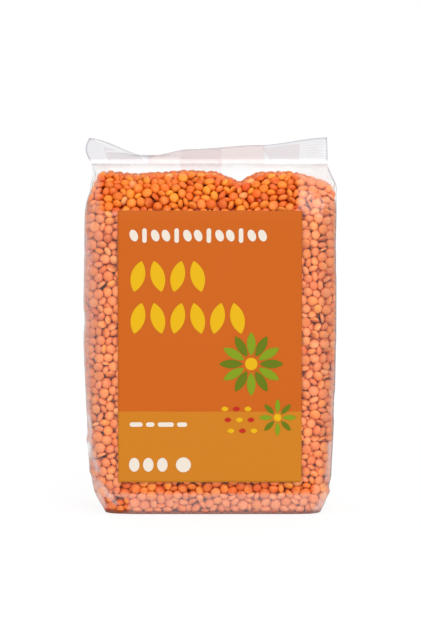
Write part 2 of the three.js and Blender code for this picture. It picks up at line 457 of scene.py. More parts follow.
class SolidField:
    """Distances to a closed surface on a grid, for points inside it."""

    def __init__(self, points: np.ndarray, faces: Sequence, pitch: float) -> None:
        """Measures the grid.

        Args:
            points: The surface's vertices.
            faces: Its faces, outwards.
            pitch: The grid's spacing.
        """
        tree = BVHTree.FromPolygons([Vector(p) for p in points], [tuple(f) for f in faces])
        self.pitch = pitch
        self.low = points.min(axis=0) - 2 * pitch
        counts = np.ceil((points.max(axis=0) + 2 * pitch - self.low) / pitch).astype(int) + 1
        values = np.empty(counts)
        for i, j, k in np.ndindex(*counts):
            place = Vector((self.low + pitch * np.array((i, j, k))).tolist())
            hit, normal, _, away = tree.find_nearest(place)
            values[i, j, k] = away if (place - hit).dot(normal) < 0 else -away
        self.values = values
        self.slopes = np.stack(np.gradient(values, pitch), axis=-1)

    def depth(self, points: np.ndarray) -> tuple[np.ndarray, np.ndarray]:
        """How deep points are inside the surface.

        Args:
            points: One row for each point.

        Returns:
            Depths, negative outside, and the unit directions in which they grow.
        """
        cells = (points - self.low) / self.pitch
        base = np.clip(np.floor(cells).astype(int), 0, np.array(self.values.shape) - 2)
        share = np.clip(cells - base, 0.0, 1.0)
        depth = np.zeros(len(points))
        slope = np.zeros((len(points), 3))
        for corner in np.ndindex(2, 2, 2):
            weight = np.prod(np.where(corner, share, 1.0 - share), axis=1)
            at = tuple((base + corner).T)
            depth += weight * self.values[at]
            slope += weight[:, None] * self.slopes[at]
        length = np.linalg.norm(slope, axis=1, keepdims=True)
        return depth, slope / np.maximum(length, 1e-6)


@dataclass(frozen=True)
class FilmFinish:
    """Clear cast polypropylene film: thin, glossy and almost colourless.

    The eye sees the lentils through it, a pale haze where it mirrors white, a thin grey outline
    where it turns away, and a little grey where several layers lie together. The outline is
    painted shade: a grey tint by the angle of view that stands in for the dark edge that bent
    light gives a real film.
    """

    roughness: float = 0.12
    face_on_gloss: float = 0.082
    edge_gloss: float = 0.5
    outline: str = "#8F8486"
    outline_start: float = 0.66
    outline_end: float = 0.95
    edge_power: float = 4.0
    crinkles: tuple[tuple[float, float], ...] = ((11.0, 0.35), (4.0, 0.10))

    def uneven(self, tree: bpy.types.NodeTree) -> bpy.types.NodeSocket:
        """The film's dimples over its broader crinkles, each a size and a depth in millimetres.

        Args:
            tree: The material's tree.

        Returns:
            The normal.
        """
        place = add_node(tree, "ShaderNodeTexCoord").outputs["Object"]
        normal = None
        for size, depth in self.crinkles:
            noise = add_node(
                tree, "ShaderNodeTexNoise", Scale=1000 / size, Detail=1.5, links={"Vector": place}
            )
            links = {"Height": noise.outputs["Fac"]}
            if normal is not None:
                links["Normal"] = normal
            bump = add_node(tree, "ShaderNodeBump", Strength=1.0, Distance=depth * MM, links=links)
            normal = bump.outputs["Normal"]
        return normal

    def build(self) -> bpy.types.Material:
        """Makes the material.

        Returns:
            A mix of see-through and gloss, by the film's own gloss and cast at each place.
        """
        material, tree = empty_material("film_cast_polypropylene")
        normal = self.uneven(tree)
        gloss = add_node(tree, "ShaderNodeAttribute", {"attribute_name": "gloss"}).outputs["Fac"]
        cast = add_node(tree, "ShaderNodeAttribute", {"attribute_name": "cast"}).outputs["Color"]
        bumped = add_node(tree, "ShaderNodeLayerWeight", Blend=0.5, links={"Normal": normal})
        grazing = add_node(
            tree,
            "ShaderNodeMath",
            {"operation": "POWER"},
            {0: bumped.outputs["Facing"], 1: self.edge_power},
        )
        rise = add_node(
            tree,
            "ShaderNodeMath",
            {"operation": "MULTIPLY_ADD"},
            {0: grazing.outputs[0], 1: self.edge_gloss, 2: self.face_on_gloss},
        )
        share = add_node(
            tree,
            "ShaderNodeMath",
            {"operation": "MULTIPLY", "use_clamp": True},
            {0: rise.outputs[0], 1: gloss},
        )
        # Painted shade: where the film turns away from the view, what lies behind it is tinted grey.
        turned_away = add_node(tree, "ShaderNodeLayerWeight", Blend=0.5).outputs["Facing"]
        drawn = add_node(tree, "ShaderNodeAttribute", {"attribute_name": "outline"}).outputs["Fac"]
        outline = add_node(
            tree,
            "ShaderNodeMapRange",
            {"interpolation_type": "SMOOTHSTEP"},
            {
                "Value": turned_away,
                "From Min": self.outline_start,
                "From Max": self.outline_end,
                "To Max": drawn,
            },
        )
        colour = add_node(
            tree,
            "ShaderNodeMix",
            {"data_type": "RGBA", "blend_type": "MULTIPLY"},
            {0: outline.outputs["Result"], 6: cast, 7: linear(self.outline)},
        )
        clear = add_node(tree, "ShaderNodeBsdfTransparent", links={"Color": colour.outputs[2]})
        shine = add_node(
            tree, "ShaderNodeBsdfGlossy", Roughness=self.roughness, links={"Normal": normal}
        )
        mix = add_node(
            tree,
            "ShaderNodeMixShader",
            links={0: share.outputs[0], 1: clear.outputs[0], 2: shine.outputs[0]},
        )
        add_node(tree, "ShaderNodeOutputMaterial", links={"Surface": mix.outputs[0]})
        return material


@dataclass
class FilmLook:
    """How film looks at each of its vertices.

    Attributes:
        gloss: How strongly it shines, as a share of a single layer.
        cast: The linear colour that it gives to what is behind it.
        outline: How much of the grey outline, which is painted shade, it keeps where it turns away.
    """

    gloss: np.ndarray
    cast: np.ndarray
    outline: np.ndarray

    @classmethod
    def plain(cls, count: int) -> "FilmLook":
        """The look of a single clear layer, at count vertices."""
        return cls(np.ones(count), np.ones((count, 3)), np.ones(count))

    @classmethod
    def joined(cls, looks: Sequence["FilmLook"]) -> "FilmLook":
        """Several looks one after the other."""
        gloss = np.concatenate([look.gloss for look in looks])
        cast = np.vstack([look.cast for look in looks])
        return cls(gloss, cast, np.concatenate([look.outline for look in looks]))

    def tint(self, share: np.ndarray, hex_colour: str) -> None:
        """Adds a cast to a share of each vertex."""
        self.cast *= 1.0 - share[:, None] * (1.0 - np.array(linear(hex_colour)[:3]))

    def dress(self, piece: bpy.types.Object, material: bpy.types.Material) -> None:
        """Gives a piece of film this look at its vertices, and its material.

        Args:
            piece: The piece.
            material: The film's material.
        """
        add_attribute(piece, "gloss", "FLOAT", self.gloss)
        add_attribute(piece, "outline", "FLOAT", self.outline)
        add_attribute(piece, "cast", "FLOAT_COLOR", np.column_stack([self.cast, np.ones(len(self.cast))]))
        piece.data.materials.append(material)


@dataclass(frozen=True)
class FilmPatch:
    """A stretch of film that shines or tints otherwise than a single loose layer does.

    Attributes:
        side: FRONT, BACK or EITHER.
        across: Its left and right end in millimetres.
        up: Its lower and upper end, along the film.
        soft: How wide its borders are.
        gloss: How strongly it shines, as a share of a single layer.
        cast: The colour that it gives to what is behind it, white for none.
        outline: How much of the grey outline, which is painted shade, it keeps where it turns away.
        painted_haze: How much painted haze lies on the lentils behind it, none where the film
        clings: a pale colour that stands in for the light that loose film scatters.
    """

    side: int
    across: tuple[float, float]
    up: tuple[float, float]
    soft: float
    gloss: float = 1.0
    cast: str = "#FFFFFF"
    outline: float = 1.0
    # How much painted haze, a pale colour standing in for light that loose film scatters, lies behind.
    painted_haze: float = 1.0

    def share(self, ring: np.ndarray, h: float) -> np.ndarray:
        """How much of each point of a ring lies in the patch."""
        x, y = ring[:, 0], ring[:, 1]
        inside = smoothstep(x, self.across[0] - self.soft, self.across[0])
        inside = inside * (1.0 - smoothstep(x, self.across[1], self.across[1] + self.soft))
        inside = inside * smoothstep(h, self.up[0] - self.soft, self.up[0])
        inside = inside * (1.0 - smoothstep(h, self.up[1], self.up[1] + self.soft))
        return inside * (y * self.side >= 0)


@dataclass(frozen=True)
class FilmStreak:
    """A crumpled line in the film that mirrors white.

    Attributes:
        side: FRONT or BACK.
        start: One end, as x and height in millimetres.
        end: The other end.
        width: How quickly it fades beside the line.
        gloss: How strongly it shines on the line, as a share of a single layer.
    """

    side: int
    start: tuple[float, float]
    end: tuple[float, float]
    width: float
    gloss: float

    def extra(self, ring: np.ndarray, h: float) -> np.ndarray:
        """How much more than a single layer each point of a ring shines."""
        line = Crease(self.side, self.start, self.end, self.gloss - 1.0, self.width)
        return line.press(ring[:, 0], np.full(len(ring), h)) * (ring[:, 1] * self.side >= 0)


@dataclass
class FilmBag:
    """The film that encloses the lentils, with its seam, its fin and its folds.

    Attributes:
        bend: How long the finer stretches over the kick and under the seal are.
        kick_step: How far apart the rings are in the kick, as with the other steps.
        rib_pitch: How far apart the fin's ribs are.
        rib_height: How far they stand out.
        rib_start: How far above the seal's foot they start.
        cut_edge_width: How wide the tinted line along the fin's cut edge is.
        crimp_lines: How many shiny lines run across the fin.
        wrinkle_band: How far from the middle the small wrinkles start, from and to.
        wrinkle_spans: The stretches of height that share them evenly.
        wrinkle_lean: How unevenly they lean, in radians.
        shoulder_lean: How much more outwards they lean in the last stretch.
        wrinkle_limit: The most that wrinkles together press the film in or out.
        wrinkle_fade: How far under the seal they start to fade out, and end.
        wrinkle_rise: How far above the base they are in full.
    """

    form: BagForm
    finish: FilmFinish = field(default_factory=FilmFinish)
    fineness: Fineness = Fineness(42, 14, 52, 40, 9)
    bend: float = 3.0
    kick_step: float = 0.9
    kick_bend_step: float = 0.5
    level_step: float = 1.2
    shoulder_step: float = 0.8
    fin_level_step: float = 0.3
    rib_pitch: float = 1.3
    rib_height: float = 0.05
    rib_start: float = 2.0
    cut_edge_width: float = 0.5
    cut_edge_cast: str = "#E6E4E8"
    crimp_lines: int = 6
    crimp_start: float = 3.5
    crimp_pitch: float = 1.5
    crimp_width: float = 0.35
    wrinkle_seed: int = 7
    wrinkle_count: int = 150
    wrinkle_band: tuple[float, float] = (36, 51)
    wrinkle_spans: tuple[tuple[float, float], ...] = ((2, 30), (30, 119), (119, 138))
    wrinkle_length: tuple[float, float] = (4, 13)
    wrinkle_lean: float = 0.5
    shoulder_lean: float = 0.6
    wrinkle_depth: tuple[float, float] = (0.12, 0.34)
    wrinkle_width: tuple[float, float] = (0.8, 1.5)
    wrinkle_limit: float = 0.9
    wrinkle_fade: tuple[float, float] = (4.0, 0.5)
    wrinkle_rise: float = 2.0

    def __post_init__(self) -> None:
        """Lays out the patches and the streaks, and draws the small wrinkles."""
        self.patches = [*self.layers(), *self.crimps()]
        self.streaks = self.creased_lines()
        self.wrinkles = self.drawn_wrinkles(np.random.default_rng(self.wrinkle_seed))

    def layers(self) -> list[FilmPatch]:
        """The kick with more gloss and painted haze, the painted contact shadow along the base, the
        clear places, the margins, the seam, the fin and the edges.
        """
        form = self.form
        top = form.seal_height + form.fin_length
        return [
            # The kick: more gloss, and more painted haze, a pale colour that lightens the lentils behind it.
            FilmPatch(EITHER, WHOLE_WIDTH, (-1, form.kick_height - 0.5), 0.5, 2.0, "#FFFBFA", painted_haze=1.5),
            # Painted contact shadow: a brown cast, with less gloss and outline, along the base where the bag
            # meets the floor.
            FilmPatch(EITHER, WHOLE_WIDTH, (-1, 0.7), 0.5, 0.4, "#B8806A", outline=0.2),
            FilmPatch(FRONT, (-36, 41), (form.kick_height + 0.3, 13), 0.7, 0.2, painted_haze=0.1),
            FilmPatch(FRONT, (-43, 34), (122.5, 138.2), 2.0, 0.03, painted_haze=0.0),
            FilmPatch(BACK, (-40, 40), (122.5, 136.5), 2.5, 0.3, painted_haze=0.0),
            FilmPatch(FRONT, (-60, -37), (13, 122), 1.0, 0.75, painted_haze=0.85),
            FilmPatch(FRONT, (36, 60), (13, 122), 1.0, 0.65),
            FilmPatch(BACK, (form.seam_left, form.seam_right), (1, top), 0.6, 1.3, "#FBF6F5"),
            FilmPatch(EITHER, (-24, 20.6), (form.seal_height + 1, top + 1), 2.0, 1.0, "#F8F1F0"),
            FilmPatch(EITHER, (-60, -25), (form.seal_height + 1, top + 1), 2.0, 1.0, "#F6F5F7"),
            FilmPatch(EITHER, (21.6, 60), (form.seal_height + 1, top + 1), 1.0, 1.0, "#FAFAFB"),
            FilmPatch(EITHER, WHOLE_WIDTH, (top - self.cut_edge_width, top + 1), 0.2, 1.0, "#EDEBEE"),
            FilmPatch(EITHER, WHOLE_WIDTH, (form.seal_height - 1.2, top + 1), 0.8, outline=0.05),
            FilmPatch(EITHER, (-41, 41), (form.seal_height - 7, top + 1), 3.0, outline=0.1),
            FilmPatch(FRONT, (-60, -45), (12, 124), 3.0, 1.9, "#F6F6F8"),
            FilmPatch(FRONT, (45.5, 60), (12, 124), 2.5, 1.2, "#EEEDEE"),
            FilmPatch(FRONT, (-60, -48.0), (12, 124), 1.2, 1.45, "#FFF7F2"),
            FilmPatch(FRONT, (-42, -33.5), (0.8, 6.0), 1.6, 0.15, painted_haze=0.12),
        ]

    def crimps(self) -> list[FilmPatch]:
        """The shiny lines that the sealing jaws leave across the fin."""
        patches = []
        for number in range(self.crimp_lines):
            low = self.form.seal_height + self.crimp_start + self.crimp_pitch * number
            up = (low, low + self.crimp_width)
            patches.append(FilmPatch(EITHER, (-24, 46), up, 0.3, 1.3, "#FAF7F7"))
        return patches

    def creased_lines(self) -> list[FilmStreak]:
        """The white streaks: down both edges, over the bottom corners and on the fin."""
        return [
            FilmStreak(FRONT, (-47.6, 28), (-45.2, 18), 0.9, 5.5),
            FilmStreak(FRONT, (-48.6, 40), (-47.4, 27), 0.7, 4.5),
            FilmStreak(FRONT, (-44.6, 13), (-37.9, 4.5), 0.8, 5.5),
            FilmStreak(FRONT, (-46.6, 15), (-42.0, 3), 0.6, 4.0),
            FilmStreak(FRONT, (47.6, 29), (46.4, 14), 0.8, 4.5),
            FilmStreak(FRONT, (48.6, 60), (48.2, 40), 0.6, 3.0),
            FilmStreak(FRONT, (45.8, 9), (42.0, 1.5), 0.7, 4.0),
            FilmStreak(FRONT, (-48.8, 112), (-48.5, 42), 0.5, 2.6),
            FilmStreak(FRONT, (-47.2, 104), (-47.0, 62), 0.4, 2.0),
            FilmStreak(FRONT, (-46.8, 151.5), (-33.5, 149.0), 0.6, 15.0),
            FilmStreak(FRONT, (-42.0, 146.0), (-30.0, 149.5), 0.5, 13.0),
            FilmStreak(FRONT, (36.6, 150.5), (46.0, 144.0), 0.45, 8.0),
            FilmStreak(BACK, (-46.5, 30), (-42.0, 4), 0.9, 4.5),
            FilmStreak(BACK, (46.5, 26), (41.0, 4), 0.9, 4.5),
        ]

    def painted_haze_at(self, points: np.ndarray) -> np.ndarray:
        """How much painted haze lies behind the film at each point, 1 for the usual."""
        amount = np.ones(len(points))
        for patch in self.patches:
            amount *= 1.0 + patch.share(points[:, :2], points[:, 2]) * (patch.painted_haze - 1.0)
        return amount

    def drawn_wrinkles(self, random: np.random.Generator) -> list[Crease]:
        """Draws small creases near the bag's edges, where the film is creased as it is filled.

        Args:
            random: The seeded random numbers.

        Returns:
            The creases, mostly along the edges, as x and height for the front and the back.
        """
        form = self.form
        creases = []
        for _ in range(self.wrinkle_count):
            x = random.uniform(*self.wrinkle_band) * random.choice((-1, 1))
            h = random.choice([random.uniform(*span) for span in self.wrinkle_spans])
            length = random.uniform(*self.wrinkle_length)
            outwards = self.shoulder_lean * np.sign(x) if h > self.wrinkle_spans[-1][0] else 0.0
            lean = random.normal(0.0, self.wrinkle_lean) + outwards
            end = (x + length * math.sin(lean), min(h + length * math.cos(lean), form.seal_height))
            depth = random.uniform(*self.wrinkle_depth) * random.choice((-1, 1))
            side = int(random.choice((FRONT, BACK)))
            creases.append(Crease(side, (x, h), end, depth, random.uniform(*self.wrinkle_width)))
        return creases + [
            Crease(FRONT, (-47.5, 17), (-45.5, 46), -0.7, 1.1),
            Crease(FRONT, (-49.0, 30), (-35.0, 6), -0.6, 1.2),
            Crease(FRONT, (-46.0, 12), (-38.0, 1), -0.6, 1.0),
            Crease(FRONT, (47.5, 14), (45.0, 34), -0.4, 1.1),
            Crease(FRONT, (48.0, 9), (40.0, 1), -0.5, 1.0),
            Crease(FRONT, (49.0, 70), (48.2, 118), -0.35, 1.2),
            Crease(FRONT, (-49.2, 60), (-48.6, 116), -0.35, 1.2),
        ]

    def heights(self) -> np.ndarray:
        """The heights of the rings, finer where the film bends."""
        form = self.form
        over_kick, under_seal = form.kick_height + self.bend, form.seal_height - self.bend
        spans = [
            (0.0, form.kick_height, self.kick_step),
            (form.kick_height, over_kick, self.kick_bend_step),
            (over_kick, form.shoulder_height, self.level_step),
            (form.shoulder_height, under_seal, self.shoulder_step),
            (under_seal, form.seal_height, self.fin_level_step),
            (form.seal_height, form.seal_height + form.fin_length, self.fin_level_step),
        ]
        parts = [np.linspace(low, high, round((high - low) / step) + 1)[1:] for low, high, step in spans]
        return np.concatenate([[0.0], *parts])

    def surface(self) -> tuple[np.ndarray, list[tuple[int, ...]], "FilmLook"]:
        """The film's outer surface.

        Returns:
            Its points, its faces and each point's look.
        """
        form = self.form
        rings, looks = [], []
        for h in self.heights():
            ring = form.ring_at(h, self.fineness)
            looks.append(self.look_at(ring, h))
            rings.append(form.lean_back(self.ribbed(self.wrinkled(ring, h), h)))
        around = len(rings[0])
        points = np.vstack([*rings, [[0.0, 0.0, 0.0]]])
        base = len(points) - 1
        faces: list[tuple[int, ...]] = list(wall_faces(len(rings), around))
        faces += fin_edge_faces(base - around, around, self.fineness.across)
        faces += [(base, (i + 1) % around, i) for i in range(around)]
        return points, faces, FilmLook.joined([*looks, FilmLook.plain(1)])

    def ribbed(self, ring: np.ndarray, h: float) -> np.ndarray:
        """Adds the crimped ribs of the seal to a ring of the fin."""
        above = h - self.form.seal_height - self.rib_start
        if above > 0:
            ring[:, 1] += self.rib_height * math.sin(2 * math.pi * above / self.rib_pitch)
        return ring

    def wrinkled(self, ring: np.ndarray, h: float) -> np.ndarray:
        """Presses the small wrinkles into a ring of the body, along its own normals."""
        fade_start, fade_end = (self.form.seal_height - under for under in self.wrinkle_fade)
        free = 1.0 - float(smoothstep(h, fade_start, fade_end))
        free *= float(smoothstep(h, 0.0, self.wrinkle_rise))
        along = np.roll(ring, -1, axis=0) - np.roll(ring, 1, axis=0)
        outwards = unit(np.column_stack([along[:, 1], -along[:, 0], np.zeros(len(ring))]))
        heights = np.full(len(ring), h)
        pressed = np.zeros(len(ring))
        for crease in self.wrinkles:
            pressed += crease.press(ring[:, 0], heights) * (ring[:, 1] * crease.side >= 0)
        pressed = np.clip(pressed, -self.wrinkle_limit, self.wrinkle_limit)
        return ring - outwards * (free * pressed)[:, None]

    def look_at(self, ring: np.ndarray, h: float) -> "FilmLook":
        """How the film shines and tints round a ring.

        Args:
            ring: The ring's points before the fin leans back.
            h: Its height along the film.

        Returns:
            The look at each point.
        """
        look = FilmLook.plain(len(ring))
        for patch in self.patches:
            share = patch.share(ring, h)
            look.gloss *= 1.0 + share * (patch.gloss - 1.0)
            look.outline *= 1.0 + share * (patch.outline - 1.0)
            look.tint(share, patch.cast)
        look.gloss += sum(streak.extra(ring, h) for streak in self.streaks)
        if h > self.form.seal_height + 1.0:
            x = ring[:, 0]
            to_edge = np.minimum(x - x.min(), x.max() - x)
            look.tint(1.0 - smoothstep(to_edge, 0.0, self.cut_edge_width), self.cut_edge_cast)
        return look

    def build(self) -> tuple[bpy.types.Object, np.ndarray, list[tuple[int, ...]]]:
        """Makes the film.

        Returns:
            The piece, and its points and faces in millimetres.
        """
        points, faces, look = self.surface()
        piece = make_object("film_bag", points, faces)
        look.dress(piece, self.finish.build())
        register(piece, "bag_film", BAG_NODE)
        return piece, points, faces


@dataclass(frozen=True)
class GussetTab:
    """The end of a side panel, folded flat into the seal between the front and the back film.

    Attributes:
        name: The piece's name.
        foot: Its left and right end at the seal's foot.
        head: Its left and right end at the top.
        low: How far above the seal's foot it starts.
        high: How far above the seal's foot it ends.
    """

    name: str
    foot: tuple[float, float]
    head: tuple[float, float]
    low: float
    high: float
    thickness: float = 0.16
    columns: int = 19
    rows: int = 24
    gloss: float = 0.4
    cast: str = "#FBF8F8"

    def build(self, form: BagForm, material: bpy.types.Material) -> bpy.types.Object:
        """Makes the tab as a thin closed sheet inside the fin.

        Args:
            form: The bag's form.
            material: The film's material.

        Returns:
            The piece.
        """
        grid = np.meshgrid(np.linspace(0, 1, self.columns), np.linspace(0, 1, self.rows))
        across, up = (part.ravel() for part in grid)
        left = self.foot[0] + (self.head[0] - self.foot[0]) * up
        right = self.foot[1] + (self.head[1] - self.foot[1]) * up
        x = left + (right - left) * across
        h = form.seal_height + self.low + (self.high - self.low) * up
        half = np.full_like(x, self.thickness / 2)
        faces = form.lean_back(np.column_stack([x, -half, h])), form.lean_back(np.column_stack([x, half, h]))
        outer, inner, rim = slab_faces(self.columns, self.rows)
        points = np.vstack(faces)
        piece = make_object(self.name, points, outer + inner + rim)
        look = FilmLook.plain(len(points))
        look.gloss *= self.gloss
        look.outline *= 0.0
        look.tint(np.ones(len(points)), self.cast)
        look.dress(piece, material)
        register(piece, "bag_film", BAG_NODE)
        return piece


def slab_faces(wide: int, high: int) -> tuple[list, list, list]:
    """Faces of a closed sheet whose outer grid of points is followed by its inner one.

    Args:
        wide: How many points each row has.
        high: How many rows each grid has.

    Returns:
        The outer faces, the inner faces and the rim's.
    """
    count = wide * high
    cells = [row * wide + i for row in range(high - 1) for i in range(wide - 1)]
    outer = [(i, i + 1, i + wide + 1, i + wide) for i in cells]
    inner = [(count + i, count + i + wide, count + i + wide + 1, count + i + 1) for i in cells]
    edge = list(range(wide))
    edge += [row * wide + wide - 1 for row in range(1, high)]
    edge += [count - 1 - i for i in range(1, wide)]
    edge += [row * wide for row in range(high - 2, 0, -1)]
    rim = [(a, a + count, b + count, b) for a, b in zip(edge, edge[1:] + edge[:1])]
    return outer, inner, rim


@dataclass(frozen=True)
class LentilKind:
    """One kind of lentil in the bag, by its skinless flesh's colour and its shape.

    Attributes:
        name: The piece's name.
        share: Its share of all the lentils.
        deep: Its colour in the hollows of its surface.
        light: Its colour on the high places.
        underside: How round its lower face is, from 0, flat as a split half's, to 1.
    """

    name: str
    share: float
    deep: str
    light: str
    underside: float = 1.0


@dataclass(frozen=True)
class LentilFinish:
    """Decorticated red lentil: dry, smooth and a little waxy, with a fine powdery grain.

    The eye sees a saturated orange that shifts to yellow or red from one lentil to the next and a
    soft highlight. Painted on it are a pale haze where the film doesn't cling, which stands in for
    the light that loose film scatters, and a browner painted shade deeper in the heap.

    Attributes:
        mottle_spread: How strongly the mottle shifts the colour, about the lentil's own tint.
        painted_haze: The painted haze's pale colour, which each vertex's own painted haze lays on.
        painted_haze_share: How strongly a full amount of painted haze covers.
        painted_shade: What the colour is multiplied by at the full depth, as painted shade, by each
        vertex's own painted shade value.
    """

    roughness: float = 0.3
    specular: float = 0.34
    grain_mm: float = 0.35
    grain_depth_mm: float = 0.02
    mottle_mm: float = 2.2
    mottle_spread: float = 1.1
    # The pale colour of the painted haze, which stands in for the light that loose film scatters.
    painted_haze: str = "#F99E68"
    painted_haze_share: float = 0.5
    # The colour that the painted shade multiplies by at full depth in the heap.
    painted_shade: str = "#D08A5C"

    def build(self, kind: LentilKind) -> bpy.types.Material:
        """Makes one kind's material.

        Args:
            kind: The kind of lentil.

        Returns:
            A satin material mottled between the kind's two colours.
        """
        material, tree = empty_material(f"lentil_flesh_{kind.name}")
        place = add_node(tree, "ShaderNodeTexCoord").outputs["Object"]
        tint = add_node(tree, "ShaderNodeAttribute", {"attribute_name": "tint"}).outputs["Fac"]
        shade = add_node(tree, "ShaderNodeAttribute", {"attribute_name": "shade"}).outputs["Fac"]
        mottle = add_node(
            tree, "ShaderNodeTexNoise", Scale=1000 / self.mottle_mm, Detail=2.0, links={"Vector": place}
        )
        spread = add_node(
            tree,
            "ShaderNodeMath",
            {"operation": "MULTIPLY_ADD"},
            {0: mottle.outputs["Fac"], 1: self.mottle_spread, 2: -0.5 * self.mottle_spread},
        )
        share = add_node(
            tree,
            "ShaderNodeMath",
            {"operation": "ADD", "use_clamp": True},
            {0: spread.outputs[0], 1: tint},
        )
        colour = add_node(
            tree,
            "ShaderNodeMix",
            {"data_type": "RGBA"},
            {0: share.outputs[0], 6: linear(kind.deep), 7: linear(kind.light)},
        )
        shaded = add_node(
            tree,
            "ShaderNodeMix",
            {"data_type": "RGBA", "blend_type": "MULTIPLY"},
            {0: 1.0, 6: colour.outputs[2], 7: shade},
        )
        # Painted haze: a pale colour laid on by each vertex's own amount, standing in for light that loose
        # film scatters.
        cover = add_node(tree, "ShaderNodeAttribute", {"attribute_name": "painted_haze"}).outputs["Fac"]
        cover = add_node(
            tree, "ShaderNodeMath", {"operation": "MULTIPLY"}, {0: cover, 1: self.painted_haze_share}
        )
        with_painted_haze = add_node(
            tree,
            "ShaderNodeMix",
            {"data_type": "RGBA"},
            {0: cover.outputs[0], 6: shaded.outputs[2], 7: linear(self.painted_haze)},
        )
        # Painted shade: the colour is darkened and browned by how deep in the heap each vertex lies.
        deep = add_node(tree, "ShaderNodeAttribute", {"attribute_name": "painted_shade"}).outputs["Fac"]
        with_painted_shade = add_node(
            tree,
            "ShaderNodeMix",
            {"data_type": "RGBA", "blend_type": "MULTIPLY"},
            {0: deep, 6: with_painted_haze.outputs[2], 7: linear(self.painted_shade)},
        )
        grain = add_node(
            tree, "ShaderNodeTexNoise", Scale=1000 / self.grain_mm, Detail=2.0, links={"Vector": place}
        )
        bump = add_node(
            tree,
            "ShaderNodeBump",
            Strength=1.0,
            Distance=self.grain_depth_mm * MM,
            links={"Height": grain.outputs["Fac"]},
        )
        skin = add_node(
            tree,
            "ShaderNodeBsdfPrincipled",
            Roughness=self.roughness,
            IOR=1.45,
            Specular_IOR_Level=self.specular,
            links={"Base Color": with_painted_shade.outputs[2], "Normal": bump.outputs["Normal"]},
        )
        add_node(tree, "ShaderNodeOutputMaterial", links={"Surface": skin.outputs[0]})
        return material


@dataclass
class Heap:
    """Lentils in their places, with one row or one value for each.

    Attributes:
        places: Their middles.
        axes: The way that each one's flat face looks, as unit vectors.
        radii: Their radii.
        thick: Their half thicknesses.
    """

    places: np.ndarray
    axes: np.ndarray
    radii: np.ndarray
    thick: np.ndarray

    def picked(self, which: np.ndarray) -> "Heap":
        """Those of the lentils that are picked out."""
        return Heap(self.places[which], self.axes[which], self.radii[which], self.thick[which])

    def reach(self, lean: np.ndarray, which: np.ndarray | slice = slice(None)) -> np.ndarray:
        """How far lentils reach from their middles along lines that their axes lean to."""
        radii, thick = self.radii[which], self.thick[which]
        return np.sqrt(radii**2 * (1.0 - lean**2) + thick**2 * lean**2)


